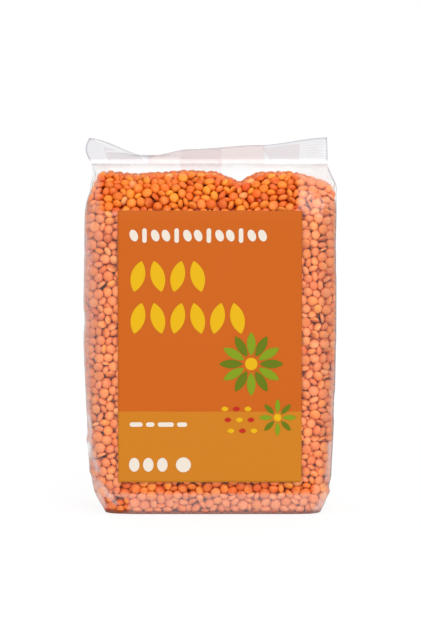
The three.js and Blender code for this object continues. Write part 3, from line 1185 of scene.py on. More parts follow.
@dataclass
class LentilFill:
    """The lentils that press against the film, settled so that they barely cross one another.

    Attributes:
        shell: How deep under the film or the heap's top lentils are made.
        filled_share: How much of that space they fill.
        jitter: How far their first places stray, as a share of their spacing.
        least_depth: How deep inside the film a first place is at least.
        least_cover: How far under the heap's top it is at least.
        facing: How strongly some of them lie flat against the film.
        lean_spread: How unevenly they lean.
        rounds: How many times they are pushed apart.
        pair_rounds: After how many of these the neighbours are looked for again.
        pair_margin: How much further than touching neighbours are looked for.
        parting: How much of each push is made in one round.
        turning: The same for a turn.
        film_turn: How strongly the film turns what presses on it.
        return_share: How quickly what strays inwards comes back to the shell.
        outward_pull: How far each round draws them against the film.
        gap: How far off the film they stay.
        touch: How close they come, as a share of their touching distance.
        last_rounds: How often they are moved inside the film and above the base at the end.
        most_pressed: How much further into the gap one may stay before it is left out.
        painted_shade_depths: The depths in the heap between which the painted shade of the deeper
        ones sets in.
        painted_haze_relief: How much of that painted shade a full amount of painted haze takes away.
        painted_haze_limit: The most painted haze that counts in this.
        stretch: How much longer than wide they are, from and to.
        variety: For each value of a lentil's own, its name, middle, spread, least and most.
        heap_top: How high the heap reaches at places across the bag.
    """

    form: BagForm
    kinds: tuple[LentilKind, ...] = (
        LentilKind("orange", 0.42, "#DA5A08", "#F48828"),
        LentilKind("coral", 0.22, "#D8540C", "#F27E2E"),
        LentilKind("amber", 0.20, "#DC6608", "#F69628"),
        LentilKind("pale", 0.04, "#E27C38", "#F6AC68"),
        LentilKind("split", 0.12, "#D4560A", "#F28A2E", underside=0.25),
    )
    finish: LentilFinish = field(default_factory=LentilFinish)
    radius: float = 2.18
    radius_spread: float = 0.17
    radius_limits: tuple[float, float] = (1.75, 2.6)
    flatness: float = 0.58
    flatness_spread: float = 0.05
    flatness_limits: tuple[float, float] = (0.44, 0.68)
    shell: float = 8.0
    filled_share: float = 0.72
    jitter: float = 0.32
    least_depth: float = 0.8
    least_cover: float = 1.0
    facing: float = 1.3
    lean_spread: float = 0.42
    rounds: int = 150
    pair_rounds: int = 6
    pair_margin: float = 0.3
    parting: float = 0.55
    turning: float = 0.22
    film_turn: float = 1.2
    return_share: float = 0.3
    outward_pull: float = 0.05
    gap: float = 0.12
    touch: float = 0.9
    last_rounds: int = 3
    most_pressed: float = 0.3
    # The painted shade of deeper lentils sets in between these depths.
    painted_shade_depths: tuple[float, float] = (0.7, 2.6)
    # How much the painted haze takes off the painted shade, and the most of it that counts.
    painted_haze_relief: float = 0.6
    painted_haze_limit: float = 1.4
    stretch: tuple[float, float] = (0.93, 1.05)
    variety: tuple[tuple[str, float, float, float, float], ...] = (
        ("tint", 0.5, 0.32, 0.0, 1.0),
        ("shade", 0.98, 0.05, 0.86, 1.08),
        ("painted_haze", 1.0, 0.25, 0.4, 1.4),
    )
    heap_top: tuple[tuple[float, float], ...] = (
        (-48.5, 129.5),
        (-46, 135.3),
        (-43, 136.6),
        (-32, 135.2),
        (-8, 136.6),
        (2, 135.9),
        (11.7, 131.6),
        (20, 136),
        (32, 136.3),
        (38, 134.8),
        (46.5, 132),
        (50, 127.5),
    )
    seed: int = 20
    segments: int = 12
    rings: int = 4

    def __post_init__(self) -> None:
        """Starts the seeded random numbers."""
        self.random = np.random.default_rng(self.seed)

    def top_at(self, x: np.ndarray) -> np.ndarray:
        """How high the heap reaches at places across the bag."""
        places, heights = zip(*self.heap_top)
        return np.interp(x, places, heights)

    def first_places(self, solid: SolidField, keep_out: Callable) -> tuple[np.ndarray, np.ndarray]:
        """Draws the lentils' first places, on a strayed grid.

        Args:
            solid: Distances to the film.
            keep_out: Says for each point whether no lentil is needed there.

        Returns:
            The places, and the way inwards from the film at each.
        """
        volume = 4 / 3 * math.pi * self.radius**3 * self.flatness
        pitch = (volume / self.filled_share) ** (1 / 3)
        high = solid.low + solid.pitch * (np.array(solid.values.shape) - 1)
        axes = [np.arange(low, top, pitch) for low, top in zip(solid.low, high)]
        grid = np.stack(np.meshgrid(*axes, indexing="ij"), axis=-1).reshape(-1, 3)
        grid += self.random.uniform(-self.jitter, self.jitter, grid.shape) * pitch
        depth, inwards = solid.depth(grid)
        buried = self.top_at(grid[:, 0]) - grid[:, 2]
        keep = (depth > self.least_depth) & (buried > self.least_cover) & ~keep_out(grid)
        keep &= np.minimum(depth, buried) < self.shell
        return grid[keep], inwards[keep]

    def scatter(self, solid: SolidField, keep_out: Callable) -> Heap:
        """Draws the lentils before they settle.

        Args:
            solid: Distances to the film.
            keep_out: Says for each point whether no lentil is needed there.

        Returns:
            The lentils.
        """
        places, inwards = self.first_places(solid, keep_out)
        draw, count = self.random, len(places)
        radii = np.clip(draw.normal(self.radius, self.radius_spread, count), *self.radius_limits)
        flatness = draw.normal(self.flatness, self.flatness_spread, count)
        thick = radii * np.clip(flatness, *self.flatness_limits)
        wall = draw.uniform(0.0, self.facing, (count, 1)) * inwards
        lying = draw.uniform(0.0, 1.0, (count, 1)) * np.array([[0.0, 0.0, 1.0]])
        lean = draw.normal(0.0, self.lean_spread, (count, 3))
        return Heap(places, unit(wall + lying + lean), radii, thick)

    def settle(self, solid: SolidField, keep_out: Callable) -> Heap:
        """Pushes the lentils apart and against the film, until they barely cross.

        Args:
            solid: Distances to the film.
            keep_out: Says for each point whether no lentil is needed there.

        Returns:
            The lentils that lie inside the film.
        """
        heap = self.scatter(solid, keep_out)
        for step in range(self.rounds):
            if step % self.pair_rounds == 0:
                first, second = close_pairs(heap.places, 2 * heap.radii.max() + self.pair_margin)
            self.draw_to_film(heap, solid, self.part(heap, first, second))
        return self.kept_inside(heap, solid)

    def part(self, heap: Heap, first: np.ndarray, second: np.ndarray) -> np.ndarray:
        """Pushes lentils that cross apart.

        Args:
            heap: The lentils, which are moved.
            first: The number of one lentil of each pair of neighbours.
            second: The number of the other.

        Returns:
            How the pushes turn each lentil's axis.
        """
        between = heap.places[second] - heap.places[first]
        away = np.maximum(np.linalg.norm(between, axis=1), 1e-6)
        line = between / away[:, None]
        lean_first, lean_second = along(line, heap.axes[first]), along(line, heap.axes[second])
        reach = heap.reach(lean_first, first) + heap.reach(lean_second, second)
        crossed = np.maximum(0.0, self.touch * reach - away)
        apart = 0.5 * crossed[:, None] * line
        push, turn = np.zeros_like(heap.places), np.zeros_like(heap.places)
        count = len(heap.places)
        for column in range(3):
            push[:, column] -= np.bincount(first, apart[:, column], count)
            push[:, column] += np.bincount(second, apart[:, column], count)
            for which, lean in ((first, lean_first), (second, lean_second)):
                turn[:, column] += np.bincount(which, crossed * lean * line[:, column], count)
        heap.places += self.parting * push
        return turn

    def draw_to_film(self, heap: Heap, solid: SolidField, turn: np.ndarray) -> None:
        """Draws the lentils against the film and under the heap's top, and turns them.

        Args:
            heap: The lentils, which are moved and turned.
            solid: Distances to the film.
            turn: How their neighbours turn them.
        """
        depth, inwards = solid.depth(heap.places)
        lean = along(inwards, heap.axes)
        short = np.maximum(0.0, heap.reach(lean) + self.gap - depth)
        buried = self.top_at(heap.places[:, 0]) - heap.places[:, 2]
        spare = np.maximum(0.0, np.minimum(depth, buried) - self.shell)
        moved = short - self.return_share * spare - self.outward_pull
        heap.places += moved[:, None] * inwards
        turn += (self.film_turn * short * lean)[:, None] * inwards
        heap.axes = unit(heap.axes + self.turning * turn)
        above = heap.places[:, 2] + heap.reach(heap.axes[:, 2]) - self.top_at(heap.places[:, 0])
        heap.places[:, 2] -= np.maximum(0.0, above)

    def kept_inside(self, heap: Heap, solid: SolidField) -> Heap:
        """Moves the lentils inside the film and above the base, and leaves out what doesn't fit.

        Args:
            heap: The lentils, which are moved.
            solid: Distances to the film.

        Returns:
            Those that fit.
        """
        for _ in range(self.last_rounds):
            depth, inwards = solid.depth(heap.places)
            room = heap.reach(along(inwards, heap.axes)) + self.gap
            heap.places += np.maximum(0.0, room - depth)[:, None] * inwards
            lowest = heap.reach(heap.axes[:, 2]) + self.gap
            heap.places[:, 2] = np.maximum(heap.places[:, 2], lowest)
        kept = solid.depth(heap.places)[0] > room - self.gap - self.most_pressed
        LOG.info("lentils: %d settled, %d left out", kept.sum(), (~kept).sum())
        return heap.picked(kept)

    def tree(self, kind: LentilKind, material: bpy.types.Material) -> bpy.types.NodeTree:
        """The Geometry Nodes tree that puts a lentil on each point.

        Args:
            kind: The kind of lentil.
            material: Its finish.

        Returns:
            The tree, with its sizes as named inputs.
        """
        tree = bpy.data.node_groups.new(f"lentils_{kind.name}", "GeometryNodeTree")
        inputs = {"Geometry": "Geometry", "Segments": "Int", "Rings": "Int", "Underside": "Float"}
        for name, value_type in inputs.items():
            tree.interface.new_socket(name, in_out="INPUT", socket_type=f"NodeSocket{value_type}")
        tree.interface.new_socket("Geometry", in_out="OUTPUT", socket_type="NodeSocketGeometry")
        given = tree.nodes.new("NodeGroupInput").outputs
        ball = add_node(
            tree,
            "GeometryNodeMeshUVSphere",
            Radius=1.0,
            links={"Segments": given["Segments"], "Rings": given["Rings"]},
        )
        at = add_node(tree, "GeometryNodeInputPosition")
        parts = add_node(tree, "ShaderNodeSeparateXYZ", links={0: at.outputs[0]})
        below = add_node(
            tree, "ShaderNodeMath", {"operation": "LESS_THAN"}, {0: parts.outputs["Z"], 1: 0.0}
        )
        squash = add_node(
            tree,
            "ShaderNodeMix",
            {"data_type": "FLOAT"},
            {0: below.outputs[0], 2: 1.0, 3: given["Underside"]},
        )
        lower = add_node(
            tree, "ShaderNodeMath", {"operation": "MULTIPLY"}, {0: parts.outputs["Z"], 1: squash.outputs[0]}
        )
        moved = add_node(
            tree,
            "ShaderNodeCombineXYZ",
            links={"X": parts.outputs["X"], "Y": parts.outputs["Y"], "Z": lower.outputs[0]},
        )
        shape = add_node(
            tree,
            "GeometryNodeSetPosition",
            links={"Geometry": ball.outputs["Mesh"], "Position": moved.outputs[0]},
        )
        smooth = add_node(tree, "GeometryNodeSetShadeSmooth", links={"Geometry": shape.outputs[0]})
        turned = add_node(
            tree, "GeometryNodeInputNamedAttribute", {"data_type": "QUATERNION"}, {"Name": "turned"}
        )
        sized = add_node(
            tree, "GeometryNodeInputNamedAttribute", {"data_type": "FLOAT_VECTOR"}, {"Name": "sized"}
        )
        placed = add_node(
            tree,
            "GeometryNodeInstanceOnPoints",
            links={
                "Points": given["Geometry"],
                "Instance": smooth.outputs[0],
                "Rotation": turned.outputs["Attribute"],
                "Scale": sized.outputs["Attribute"],
            },
        )
        real = add_node(tree, "GeometryNodeRealizeInstances", links={"Geometry": placed.outputs[0]})
        dressed = add_node(
            tree, "GeometryNodeSetMaterial", {}, {"Geometry": real.outputs[0], "Material": material}
        )
        add_node(tree, "NodeGroupOutput", links={"Geometry": dressed.outputs[0]})
        return tree

    def make_kind(self, kind: LentilKind, heap: Heap) -> bpy.types.Object:
        """Makes all the lentils of one kind as one piece.

        Args:
            kind: The kind of lentil.
            heap: Those of the lentils that are of this kind.

        Returns:
            The piece.
        """
        count = len(heap.places)
        points = make_object(f"points_{kind.name}", heap.places, [])
        spin = self.random.uniform(0.0, 2 * math.pi, count)
        longer = self.random.uniform(*self.stretch, count)
        sizes = np.column_stack([heap.radii * longer, heap.radii / longer, heap.thick]) * MM
        add_attribute(points, "turned", "QUATERNION", turns(heap.axes, spin))
        add_attribute(points, "sized", "FLOAT_VECTOR", sizes)
        for name, middle, spread, least, most in self.variety:
            values = np.clip(self.random.normal(middle, spread, count), least, most)
            add_attribute(points, name, "FLOAT", values)
        modifier = points.modifiers.new("lentils", "NODES")
        modifier.node_group = self.tree(kind, self.finish.build(kind))
        wanted = {"Segments": self.segments, "Rings": self.rings, "Underside": kind.underside}
        for item in modifier.node_group.interface.items_tree:
            if item.name in wanted and item.in_out == "INPUT":
                modifier[item.identifier] = wanted[item.name]
        return baked(points, f"lentils_{kind.name}")

    def build(self, solid: SolidField, keep_out: Callable, painted_haze_at: Callable) -> list[bpy.types.Object]:
        """Makes the lentils of every kind.

        Args:
            solid: Distances to the film.
            keep_out: Says for each point whether no lentil is needed there.
            painted_haze_at: Says for each point how much painted haze lies there.

        Returns:
            One piece for each kind.
        """
        heap = self.settle(solid, keep_out)
        shares = np.array([kind.share for kind in self.kinds])
        drawn = self.random.choice(len(self.kinds), len(heap.places), p=shares / shares.sum())
        pieces = []
        for number, kind in enumerate(self.kinds):
            piece = self.make_kind(kind, heap.picked(drawn == number))
            self.paint_haze_and_shade(piece, solid, painted_haze_at)
            register(piece, "bag_film", BAG_NODE)
            pieces.append(piece)
        return pieces

    def paint_haze_and_shade(self, piece: bpy.types.Object, solid: SolidField, painted_haze_at: Callable) -> None:
        """Lays the painted haze on a piece, and paints shade on it by how deep in the heap each
        vertex lies.

        Args:
            piece: The lentils of one kind.
            solid: Distances to the film.
            painted_haze_at: Says for each point how much painted haze lies there.
        """
        count = len(piece.data.vertices)
        places = np.empty(3 * count)
        piece.data.vertices.foreach_get("co", places)
        places = places.reshape(-1, 3) / MM
        depth = np.minimum(solid.depth(places)[0], self.top_at(places[:, 0]) - places[:, 2])
        # Painted haze: each vertex's own amount is scaled by where it lies behind the film.
        amount = painted_haze_at(places)
        relief = self.painted_haze_relief * np.minimum(amount, self.painted_haze_limit)
        own = piece.data.attributes["painted_haze"].data
        painted_haze = np.empty(count)
        own.foreach_get("value", painted_haze)
        own.foreach_set("value", painted_haze * amount)
        # Painted shade: more on deeper vertices, less where painted haze lies.
        add_attribute(piece, "painted_shade", "FLOAT", smoothstep(depth, *self.painted_shade_depths) * (1.0 - relief))


def unit(vectors: np.ndarray) -> np.ndarray:
    """Scales each row to length 1."""
    return vectors / np.maximum(np.linalg.norm(vectors, axis=1, keepdims=True), 1e-9)


def along(first: np.ndarray, second: np.ndarray) -> np.ndarray:
    """The dot product of each pair of rows."""
    return np.einsum("ij,ij->i", first, second)


def turns(axes: np.ndarray, spin: np.ndarray) -> np.ndarray:
    """Rotations that lay the Z axis along each row of axes, after a spin about itself.

    Args:
        axes: Unit vectors.
        spin: Angles in radians.

    Returns:
        One row of w, x, y and z for each.
    """
    tilt = np.column_stack([1.0 + axes[:, 2], -axes[:, 1], axes[:, 0], np.zeros(len(axes))])
    upside_down = 1.0 + axes[:, 2] < 1e-6
    tilt[upside_down] = (0.0, 1.0, 0.0, 0.0)
    w, x, y, _ = unit(tilt).T
    cos, sin = np.cos(spin / 2), np.sin(spin / 2)
    return np.column_stack([w * cos, x * cos + y * sin, y * cos - x * sin, w * sin])


def close_pairs(places: np.ndarray, reach: float) -> tuple[np.ndarray, np.ndarray]:
    """Finds the pairs of points that are less than reach apart.

    Args:
        places: One row for each point.
        reach: The largest distance of a pair.

    Returns:
        The numbers of each pair's two points.
    """
    cells = np.floor((places - places.min(axis=0)) / reach).astype(np.int64) + 1
    counts = cells.max(axis=0) + 2
    keys = (cells[:, 0] * counts[1] + cells[:, 1]) * counts[2] + cells[:, 2]
    order = np.argsort(keys, kind="stable")
    ordered = keys[order]
    firsts, seconds = [], []
    for offset in np.ndindex(3, 3, 3):
        shift = (offset[0] - 1) * counts[1] * counts[2] + (offset[1] - 1) * counts[2] + offset[2] - 1
        low = np.searchsorted(ordered, keys + shift, "left")
        high = np.searchsorted(ordered, keys + shift, "right")
        many = high - low
        first = np.repeat(np.arange(len(places)), many)
        within = np.arange(many.sum()) - np.repeat(np.cumsum(many) - many, many)
        second = order[np.repeat(low, many) + within]
        near = first < second
        firsts.append(first[near])
        seconds.append(second[near])
    first, second = np.concatenate(firsts), np.concatenate(seconds)
    near = np.linalg.norm(places[first] - places[second], axis=1) < reach
    return first[near], second[near]


def baked(source: bpy.types.Object, name: str) -> bpy.types.Object:
    """Turns an object with a live modifier into a plain mesh object, and removes the first.

    Args:
        source: The object to evaluate.
        name: The new object's name.

    Returns:
        The plain object.
    """
    evaluated = source.evaluated_get(bpy.context.evaluated_depsgraph_get())
    mesh = bpy.data.meshes.new_from_object(evaluated)
    mesh.name = name
    piece = bpy.data.objects.new(name, mesh)
    bpy.context.scene.collection.objects.link(piece)
    group = source.modifiers[0].node_group
    bpy.data.objects.remove(source)
    bpy.data.node_groups.remove(group)
    return piece


@dataclass
class LentilCore:
    """The lentils further in, seen only through the gaps between those at the film, and coloured
    dark as painted shade.

    Attributes:
        thinnest: The least half size that the inset leaves.
        lumps: The painted shade's colour of its lumps, and the darker one of the hollows between them.
        form: The bag's form.
        top_at: Gives the heap's height at places across the bag.
        inset: How far inside the film its sides are.
        foot_inset: The same at the base.
        foot_height: Where the base's inset ends.
        cover: How far under the heap's top it ends.
        low: Where it starts.
        high: Where its last ring is, before the heap's top presses it down.
        fineness: How many faces a ring has.
        levels: How many rings it has.
    """

    form: BagForm
    top_at: Callable
    inset: float = 4.6
    foot_inset: float = 3.2
    foot_height: float = 4.0
    cover: float = 6.0
    low: float = 0.5
    high: float = 138.0
    fineness: Fineness = Fineness(20, 8, 24, 8, 3)
    levels: int = 60
    lump_mm: float = 3.6
    lump_depth_mm: float = 1.0
    lumps: tuple[str, str] = ("#9A3410", "#5E1A06")
    roughness: float = 0.8
    thinnest: float = 0.5

    def material(self) -> bpy.types.Material:
        """Shadowed lentil flesh: deep orange lumps, as dark as the gaps look."""
        material, tree = empty_material("lentil_flesh_shadowed")
        place = add_node(tree, "ShaderNodeTexCoord").outputs["Object"]
        lumps = add_node(tree, "ShaderNodeTexVoronoi", Scale=1000 / self.lump_mm, links={"Vector": place})
        # Painted shade: dark lumps, darker still in the hollows between them.
        colour = add_node(
            tree,
            "ShaderNodeMix",
            {"data_type": "RGBA"},
            {0: lumps.outputs["Distance"], 6: linear(self.lumps[0]), 7: linear(self.lumps[1])},
        )
        bump = add_node(
            tree,
            "ShaderNodeBump",
            {"invert": True},
            {"Height": lumps.outputs["Distance"]},
            Strength=1.0,
            Distance=self.lump_depth_mm * MM,
        )
        flesh = add_node(
            tree,
            "ShaderNodeBsdfPrincipled",
            Roughness=self.roughness,
            Specular_IOR_Level=0.0,
            links={"Base Color": colour.outputs[2], "Normal": bump.outputs["Normal"]},
        )
        add_node(tree, "ShaderNodeOutputMaterial", links={"Surface": flesh.outputs[0]})
        return material

    def build(self) -> bpy.types.Object:
        """Makes the core as one closed loft inside the film."""
        rings = []
        for h in np.linspace(self.low, self.high, self.levels):
            ring = self.form.ring_at(h, self.fineness)
            size = np.abs(ring[:, :2]).max(axis=0)
            foot = 1.0 - float(smoothstep(h, 0.0, self.foot_height))
            inset = self.inset + (self.foot_inset - self.inset) * foot
            ring[:, :2] *= np.maximum(size - inset, self.thinnest) / size
            rings.append(ring)
        around = len(rings[0])
        middles = [[0.0, 0.0, self.low], [0.0, 0.0, self.high]]
        points = np.vstack([*rings, middles])
        points[:, 2] = np.minimum(points[:, 2], self.top_at(points[:, 0]) - self.cover)
        low, high = len(points) - 2, len(points) - 1
        top = low - around
        faces: list[tuple[int, ...]] = list(wall_faces(len(rings), around))
        faces += [(low, (i + 1) % around, i) for i in range(around)]
        faces += [(high, top + i, top + (i + 1) % around) for i in range(around)]
        piece = make_object("lentil_core", points, faces)
        piece.data.materials.append(self.material())
        register(piece, "bag_film", BAG_NODE)
        return piece


class Ink(Enum):
    """The inks of the label: its two fields, then those of its motifs."""

    ORANGE = "#B9580D"
    AMBER = "#BC7214"
    CREAM = "#D7CCBF"
    YELLOW = "#D2A304"
    LEAF = "#768D10"
    DARK_LEAF = "#5C6B06"
    RED = "#AD2110"


@dataclass(frozen=True)
class LabelFinish:
    """Printed coated paper: smooth and nearly matt, with a faint tooth."""

    roughness: float = 0.55
    specular: float = 0.15
    tooth_mm: float = 0.5
    tooth_depth_mm: float = 0.008
    uneven: float = 0.05

    def build(self, ink: Ink) -> bpy.types.Material:
        """Makes the material of one ink.

        Args:
            ink: The ink.

        Returns:
            A matt material in that ink's colour.
        """
        material, tree = empty_material(f"printed_paper_{ink.name.lower()}")
        place = add_node(tree, "ShaderNodeTexCoord").outputs["Object"]
        tooth = add_node(
            tree, "ShaderNodeTexNoise", Scale=1000 / self.tooth_mm, Detail=3.0, links={"Vector": place}
        )
        bump = add_node(
            tree,
            "ShaderNodeBump",
            Strength=1.0,
            Distance=self.tooth_depth_mm * MM,
            links={"Height": tooth.outputs["Fac"]},
        )
        worn = tuple(c * (1 - self.uneven) for c in linear(ink.value)[:3]) + (1.0,)
        colour = add_node(
            tree,
            "ShaderNodeMix",
            {"data_type": "RGBA"},
            {0: tooth.outputs["Fac"], 6: linear(ink.value), 7: worn},
        )
        paper = add_node(
            tree,
            "ShaderNodeBsdfPrincipled",
            Roughness=self.roughness,
            Specular_IOR_Level=self.specular,
            links={"Base Color": colour.outputs[2], "Normal": bump.outputs["Normal"]},
        )
        add_node(tree, "ShaderNodeOutputMaterial", links={"Surface": paper.outputs[0]})
        return material


@dataclass
class Label:
    """The label on the front: a sheet that follows the film, and the shapes printed on it.

    Its own coordinates are millimetres right and up from its lower left corner. Each start is the
    middle of the first shape of its row, and each pitch is the way from one to the next.

    Attributes:
        band_height: How high the amber band reaches.
        print_lift: How far the print stands off the sheet, and how much more where shapes might meet.
        title_rows: How many seed shapes each row of the title has, and at what height.
        dashes: The lengths of the dashes in the thin line.
        rosette_sizes: Each rosette's middle, size and number of petals.
        tile_shift: How far each row of lozenges stands right of the one above it.
    """

    form: BagForm
    finish: LabelFinish = field(default_factory=LabelFinish)
    gap: float = 0.3
    thickness: float = 0.4
    band_height: float = 28.4
    print_lift: float = 0.05
    print_thickness: float = 0.05
    columns: int = 74
    rows: int = 108
    header_count: int = 13
    header_start: tuple[float, float] = (6.4, 98.6)
    header_pitch: float = 4.25
    title_height: float = 12.6
    title_width: float = 5.6
    title_rows: tuple[tuple[int, float], ...] = ((4, 82.4), (6, 65.7))
    title_start: float = 8.0
    title_pitch: float = 7.9
    title_lean: float = 14.0
    dashes: tuple[float, ...] = (5.2, 3.4, 6.4, 4.0)
    dash_start: tuple[float, float] = (4.6, 23.2)
    dash_gap: float = 1.3
    dash_width: float = 1.8
    foot_count: int = 3
    foot_start: tuple[float, float] = (6.4, 7.0)
    foot_pitch: float = 5.6
    foot_disc: tuple[float, float] = (26.0, 7.0)
    rosette_sizes: tuple[tuple[tuple[float, float], float, int], ...] = (
        ((53.0, 47.5), 13.0, 12),
        ((63.5, 26.0), 7.6, 8),
    )
    tile_rows: int = 3
    tile_start: tuple[float, float] = (42.5, 29.5)
    tile_pitch: tuple[float, float] = (4.6, -4.4)
    tile_shift: float = 1.2

    def __post_init__(self) -> None:
        """Takes the label's place from the frame."""
        low, high = (np.array(corner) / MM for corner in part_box(LABEL_NODE))
        self.left, self.right = low[0], high[0]
        self.bottom, self.top = low[2], high[2]

    def surface(self, across: np.ndarray, up: np.ndarray, lift: float) -> np.ndarray:
        """Puts label coordinates on the label's outer face.

        Args:
            across: Millimetres from the left edge.
            up: Millimetres from the bottom edge.
            lift: How far off the film's own surface.

        Returns:
            One point for each pair.
        """
        x, z = self.left + across, self.bottom + up
        away = [self.form.film_distance(np.array([a]), b, FRONT)[0] for a, b in zip(x, z)]
        return np.column_stack([x, -np.array(away) - lift, z])

    def sheet(self) -> bpy.types.Object:
        """Makes the sheet, orange above an amber band.

        Returns:
            The piece.
        """
        width, height = self.right - self.left, self.top - self.bottom
        across = np.linspace(0.0, width, self.columns)
        split = round(self.rows * self.band_height / height)
        lower = np.linspace(0.0, self.band_height, split)
        up = np.concatenate([lower, np.linspace(self.band_height, height, self.rows - split + 1)[1:]])
        grid = [a.ravel() for a in np.meshgrid(across, up)]
        outer = self.surface(*grid, self.gap + self.thickness)
        inner = self.surface(*grid, self.gap)
        wide = len(across)
        front, behind, rim = slab_faces(wide, len(up))
        faces = front + behind + rim
        inks = [int(min(face) % (wide * len(up)) // wide < split - 1) for face in faces]
        piece = make_object("label_sheet", np.vstack([outer, inner]), faces)
        piece.data.materials.append(self.finish.build(Ink.ORANGE))
        piece.data.materials.append(self.finish.build(Ink.AMBER))
        piece.data.polygons.foreach_set("material_index", inks)
        register(piece, "label", LABEL_NODE)
        return piece

    def printed(self) -> list["PrintedShape"]:
        """All the shapes of the print, from the header down to the foot."""
        return [*self.header(), *self.title(), *self.small_lines(), *self.rosettes(), *self.tiles()]

    def header(self) -> list["PrintedShape"]:
        """A row of small cream seeds and bars across the top."""
        shapes = []
        for number in range(self.header_count):
            middle = (self.header_start[0] + self.header_pitch * number, self.header_start[1])
            if number % 3 == 1:
                shapes.append(PrintedShape(Ink.CREAM, capsule(middle, 1.8, 5.8, 0.0)))
            else:
                shapes.append(PrintedShape(Ink.CREAM, oval(middle, 1.6, 2.4, 20.0)))
        return shapes

    def title(self) -> list["PrintedShape"]:
        """Two rows of large yellow seed shapes, which lean left and right by turns."""
        shapes = []
        for count, height in self.title_rows:
            for number in range(count):
                lean = self.title_lean if number % 2 else -self.title_lean
                middle = (self.title_start + self.title_pitch * number, height)
                outline = seed_shape(middle, self.title_width, self.title_height, lean)
                shapes.append(PrintedShape(Ink.YELLOW, outline))
        return shapes

    def small_lines(self) -> list["PrintedShape"]:
        """A thin cream line of dashes, and a short row of discs at the foot."""
        outlines = []
        for number, length in enumerate(self.dashes):
            left = self.dash_start[0] + sum(self.dashes[:number]) + self.dash_gap * number
            middle = (left + length / 2, self.dash_start[1])
            outlines.append(capsule(middle, self.dash_width, length, 90.0))
        for number in range(self.foot_count):
            middle = (self.foot_start[0] + self.foot_pitch * number, self.foot_start[1])
            outlines.append(oval(middle, 2.1, 2.8, 0.0))
        outlines.append(oval(self.foot_disc, 3.0, 3.0, 0.0))
        return [PrintedShape(Ink.CREAM, outline) for outline in outlines]

    def rosettes(self) -> list["PrintedShape"]:
        """Two rosettes of green petals round a yellow disc, the larger one above the smaller."""
        shapes = []
        for middle, size, petals in self.rosette_sizes:
            for number in range(petals):
                degrees = 360.0 * number / petals
                away = 0.62 * size
                lean = math.radians(degrees + 90.0)
                at = (middle[0] + away * math.cos(lean), middle[1] + away * math.sin(lean))
                ink = Ink.DARK_LEAF if number % 2 else Ink.LEAF
                shapes.append(PrintedShape(ink, seed_shape(at, 0.27 * size, 0.72 * size, degrees)))
            shapes.append(PrintedShape(Ink.YELLOW, oval(middle, 0.19 * size, 0.19 * size, 0.0)))
        return shapes

    def tiles(self) -> list["PrintedShape"]:
        """Three short rows of red and yellow lozenges beside the smaller rosette."""
        shapes = []
        for row, column in np.ndindex(self.tile_rows, self.tile_rows):
            ink = Ink.RED if (row + column) % 2 else Ink.YELLOW
            across = self.tile_start[0] + self.tile_pitch[0] * column + self.tile_shift * row
            middle = (across, self.tile_start[1] + self.tile_pitch[1] * row)
            shapes.append(PrintedShape(ink, seed_shape(middle, 1.9, 2.9, 90.0)))
        return shapes

    def print_piece(self) -> bpy.types.Object:
        """Makes all printed shapes as one piece of thin closed patches.

        Returns:
            The piece.
        """
        points, faces, looks = [], [], []
        inks = list(Ink)
        count = 0
        base = self.gap + self.thickness
        for order, shape in enumerate(self.printed()):
            lift = base + self.print_lift * (1 + 0.15 * (order % 4))
            patch, own_faces = shape.patch(self.surface, lift, self.print_thickness)
            points.append(patch)
            faces += [tuple(count + i for i in f) for f in own_faces]
            looks += [inks.index(shape.ink)] * len(own_faces)
            count += len(patch)
        piece = make_object("label_print", np.vstack(points), faces, smooth=False)
        for ink in inks:
            piece.data.materials.append(self.finish.build(ink))
        piece.data.polygons.foreach_set("material_index", looks)
        register(piece, "label")
        return piece

    def build(self) -> list[bpy.types.Object]:
        """Makes the sheet and its print."""
        return [self.sheet(), self.print_piece()]


@dataclass(frozen=True)
class PrintedShape:
    """One flat shape of the print, in label coordinates.

    Attributes:
        ink: Its ink.
        outline: Its corners, anticlockwise, with each seen from the shape's middle line.
    """

    ink: Ink
    outline: np.ndarray

    def patch(self, place: Callable, lift: float, thickness: float) -> tuple[np.ndarray, list]:
        """Makes the shape as a thin closed patch on the label.

        Args:
            place: Puts label coordinates on the label.
            lift: How far its inner face is off the film.
            thickness: How thick it is.

        Returns:
            Its points and its faces.
        """
        count = len(self.outline)
        across, up = self.outline.T
        points = np.vstack([place(across, up, lift + thickness), place(across, up, lift)])
        half = count // 2
        faces: list[tuple[int, ...]] = []
        for i in range(half - 1):
            j = count - 1 - i
            faces.append((i, i + 1, j - 1, j))
            faces.append((count + i, count + j, count + j - 1, count + i + 1))
        for i in range(count):
            j = (i + 1) % count
            faces.append((i, count + i, count + j, j))
        return points, faces


def turned(points: np.ndarray, middle: tuple[float, float], degrees: float) -> np.ndarray:
    """Turns points about the origin and moves them to middle."""
    angle = math.radians(degrees)
    spin = np.array([[math.cos(angle), -math.sin(angle)], [math.sin(angle), math.cos(angle)]])
    return points @ spin.T + np.array(middle)


def lengthways(
    half_width: Callable, length: float, middle: tuple, degrees: float, steps: int = 14
) -> np.ndarray:
    """An upright shape from its half width along its length.

    Args:
        half_width: Gives the half width at a share of the length from -1 to 1.
        length: The shape's length.
        middle: Its middle.
        degrees: How far it is turned anticlockwise.
        steps: How many faces long it is.

    Returns:
        The outline.
    """
    share = np.sin(np.linspace(-math.pi / 2, math.pi / 2, steps + 1))
    wide = np.maximum(half_width(share), 0.02)
    right = np.column_stack([wide, share * length / 2])
    left = np.column_stack([-wide, share * length / 2])
    return turned(np.vstack([right, left[::-1]]), middle, degrees)


def oval(middle: tuple, half_width: float, half_height: float, degrees: float) -> np.ndarray:
    """An ellipse."""
    return lengthways(lambda s: half_width * np.sqrt(1 - s**2), 2 * half_height, middle, degrees)


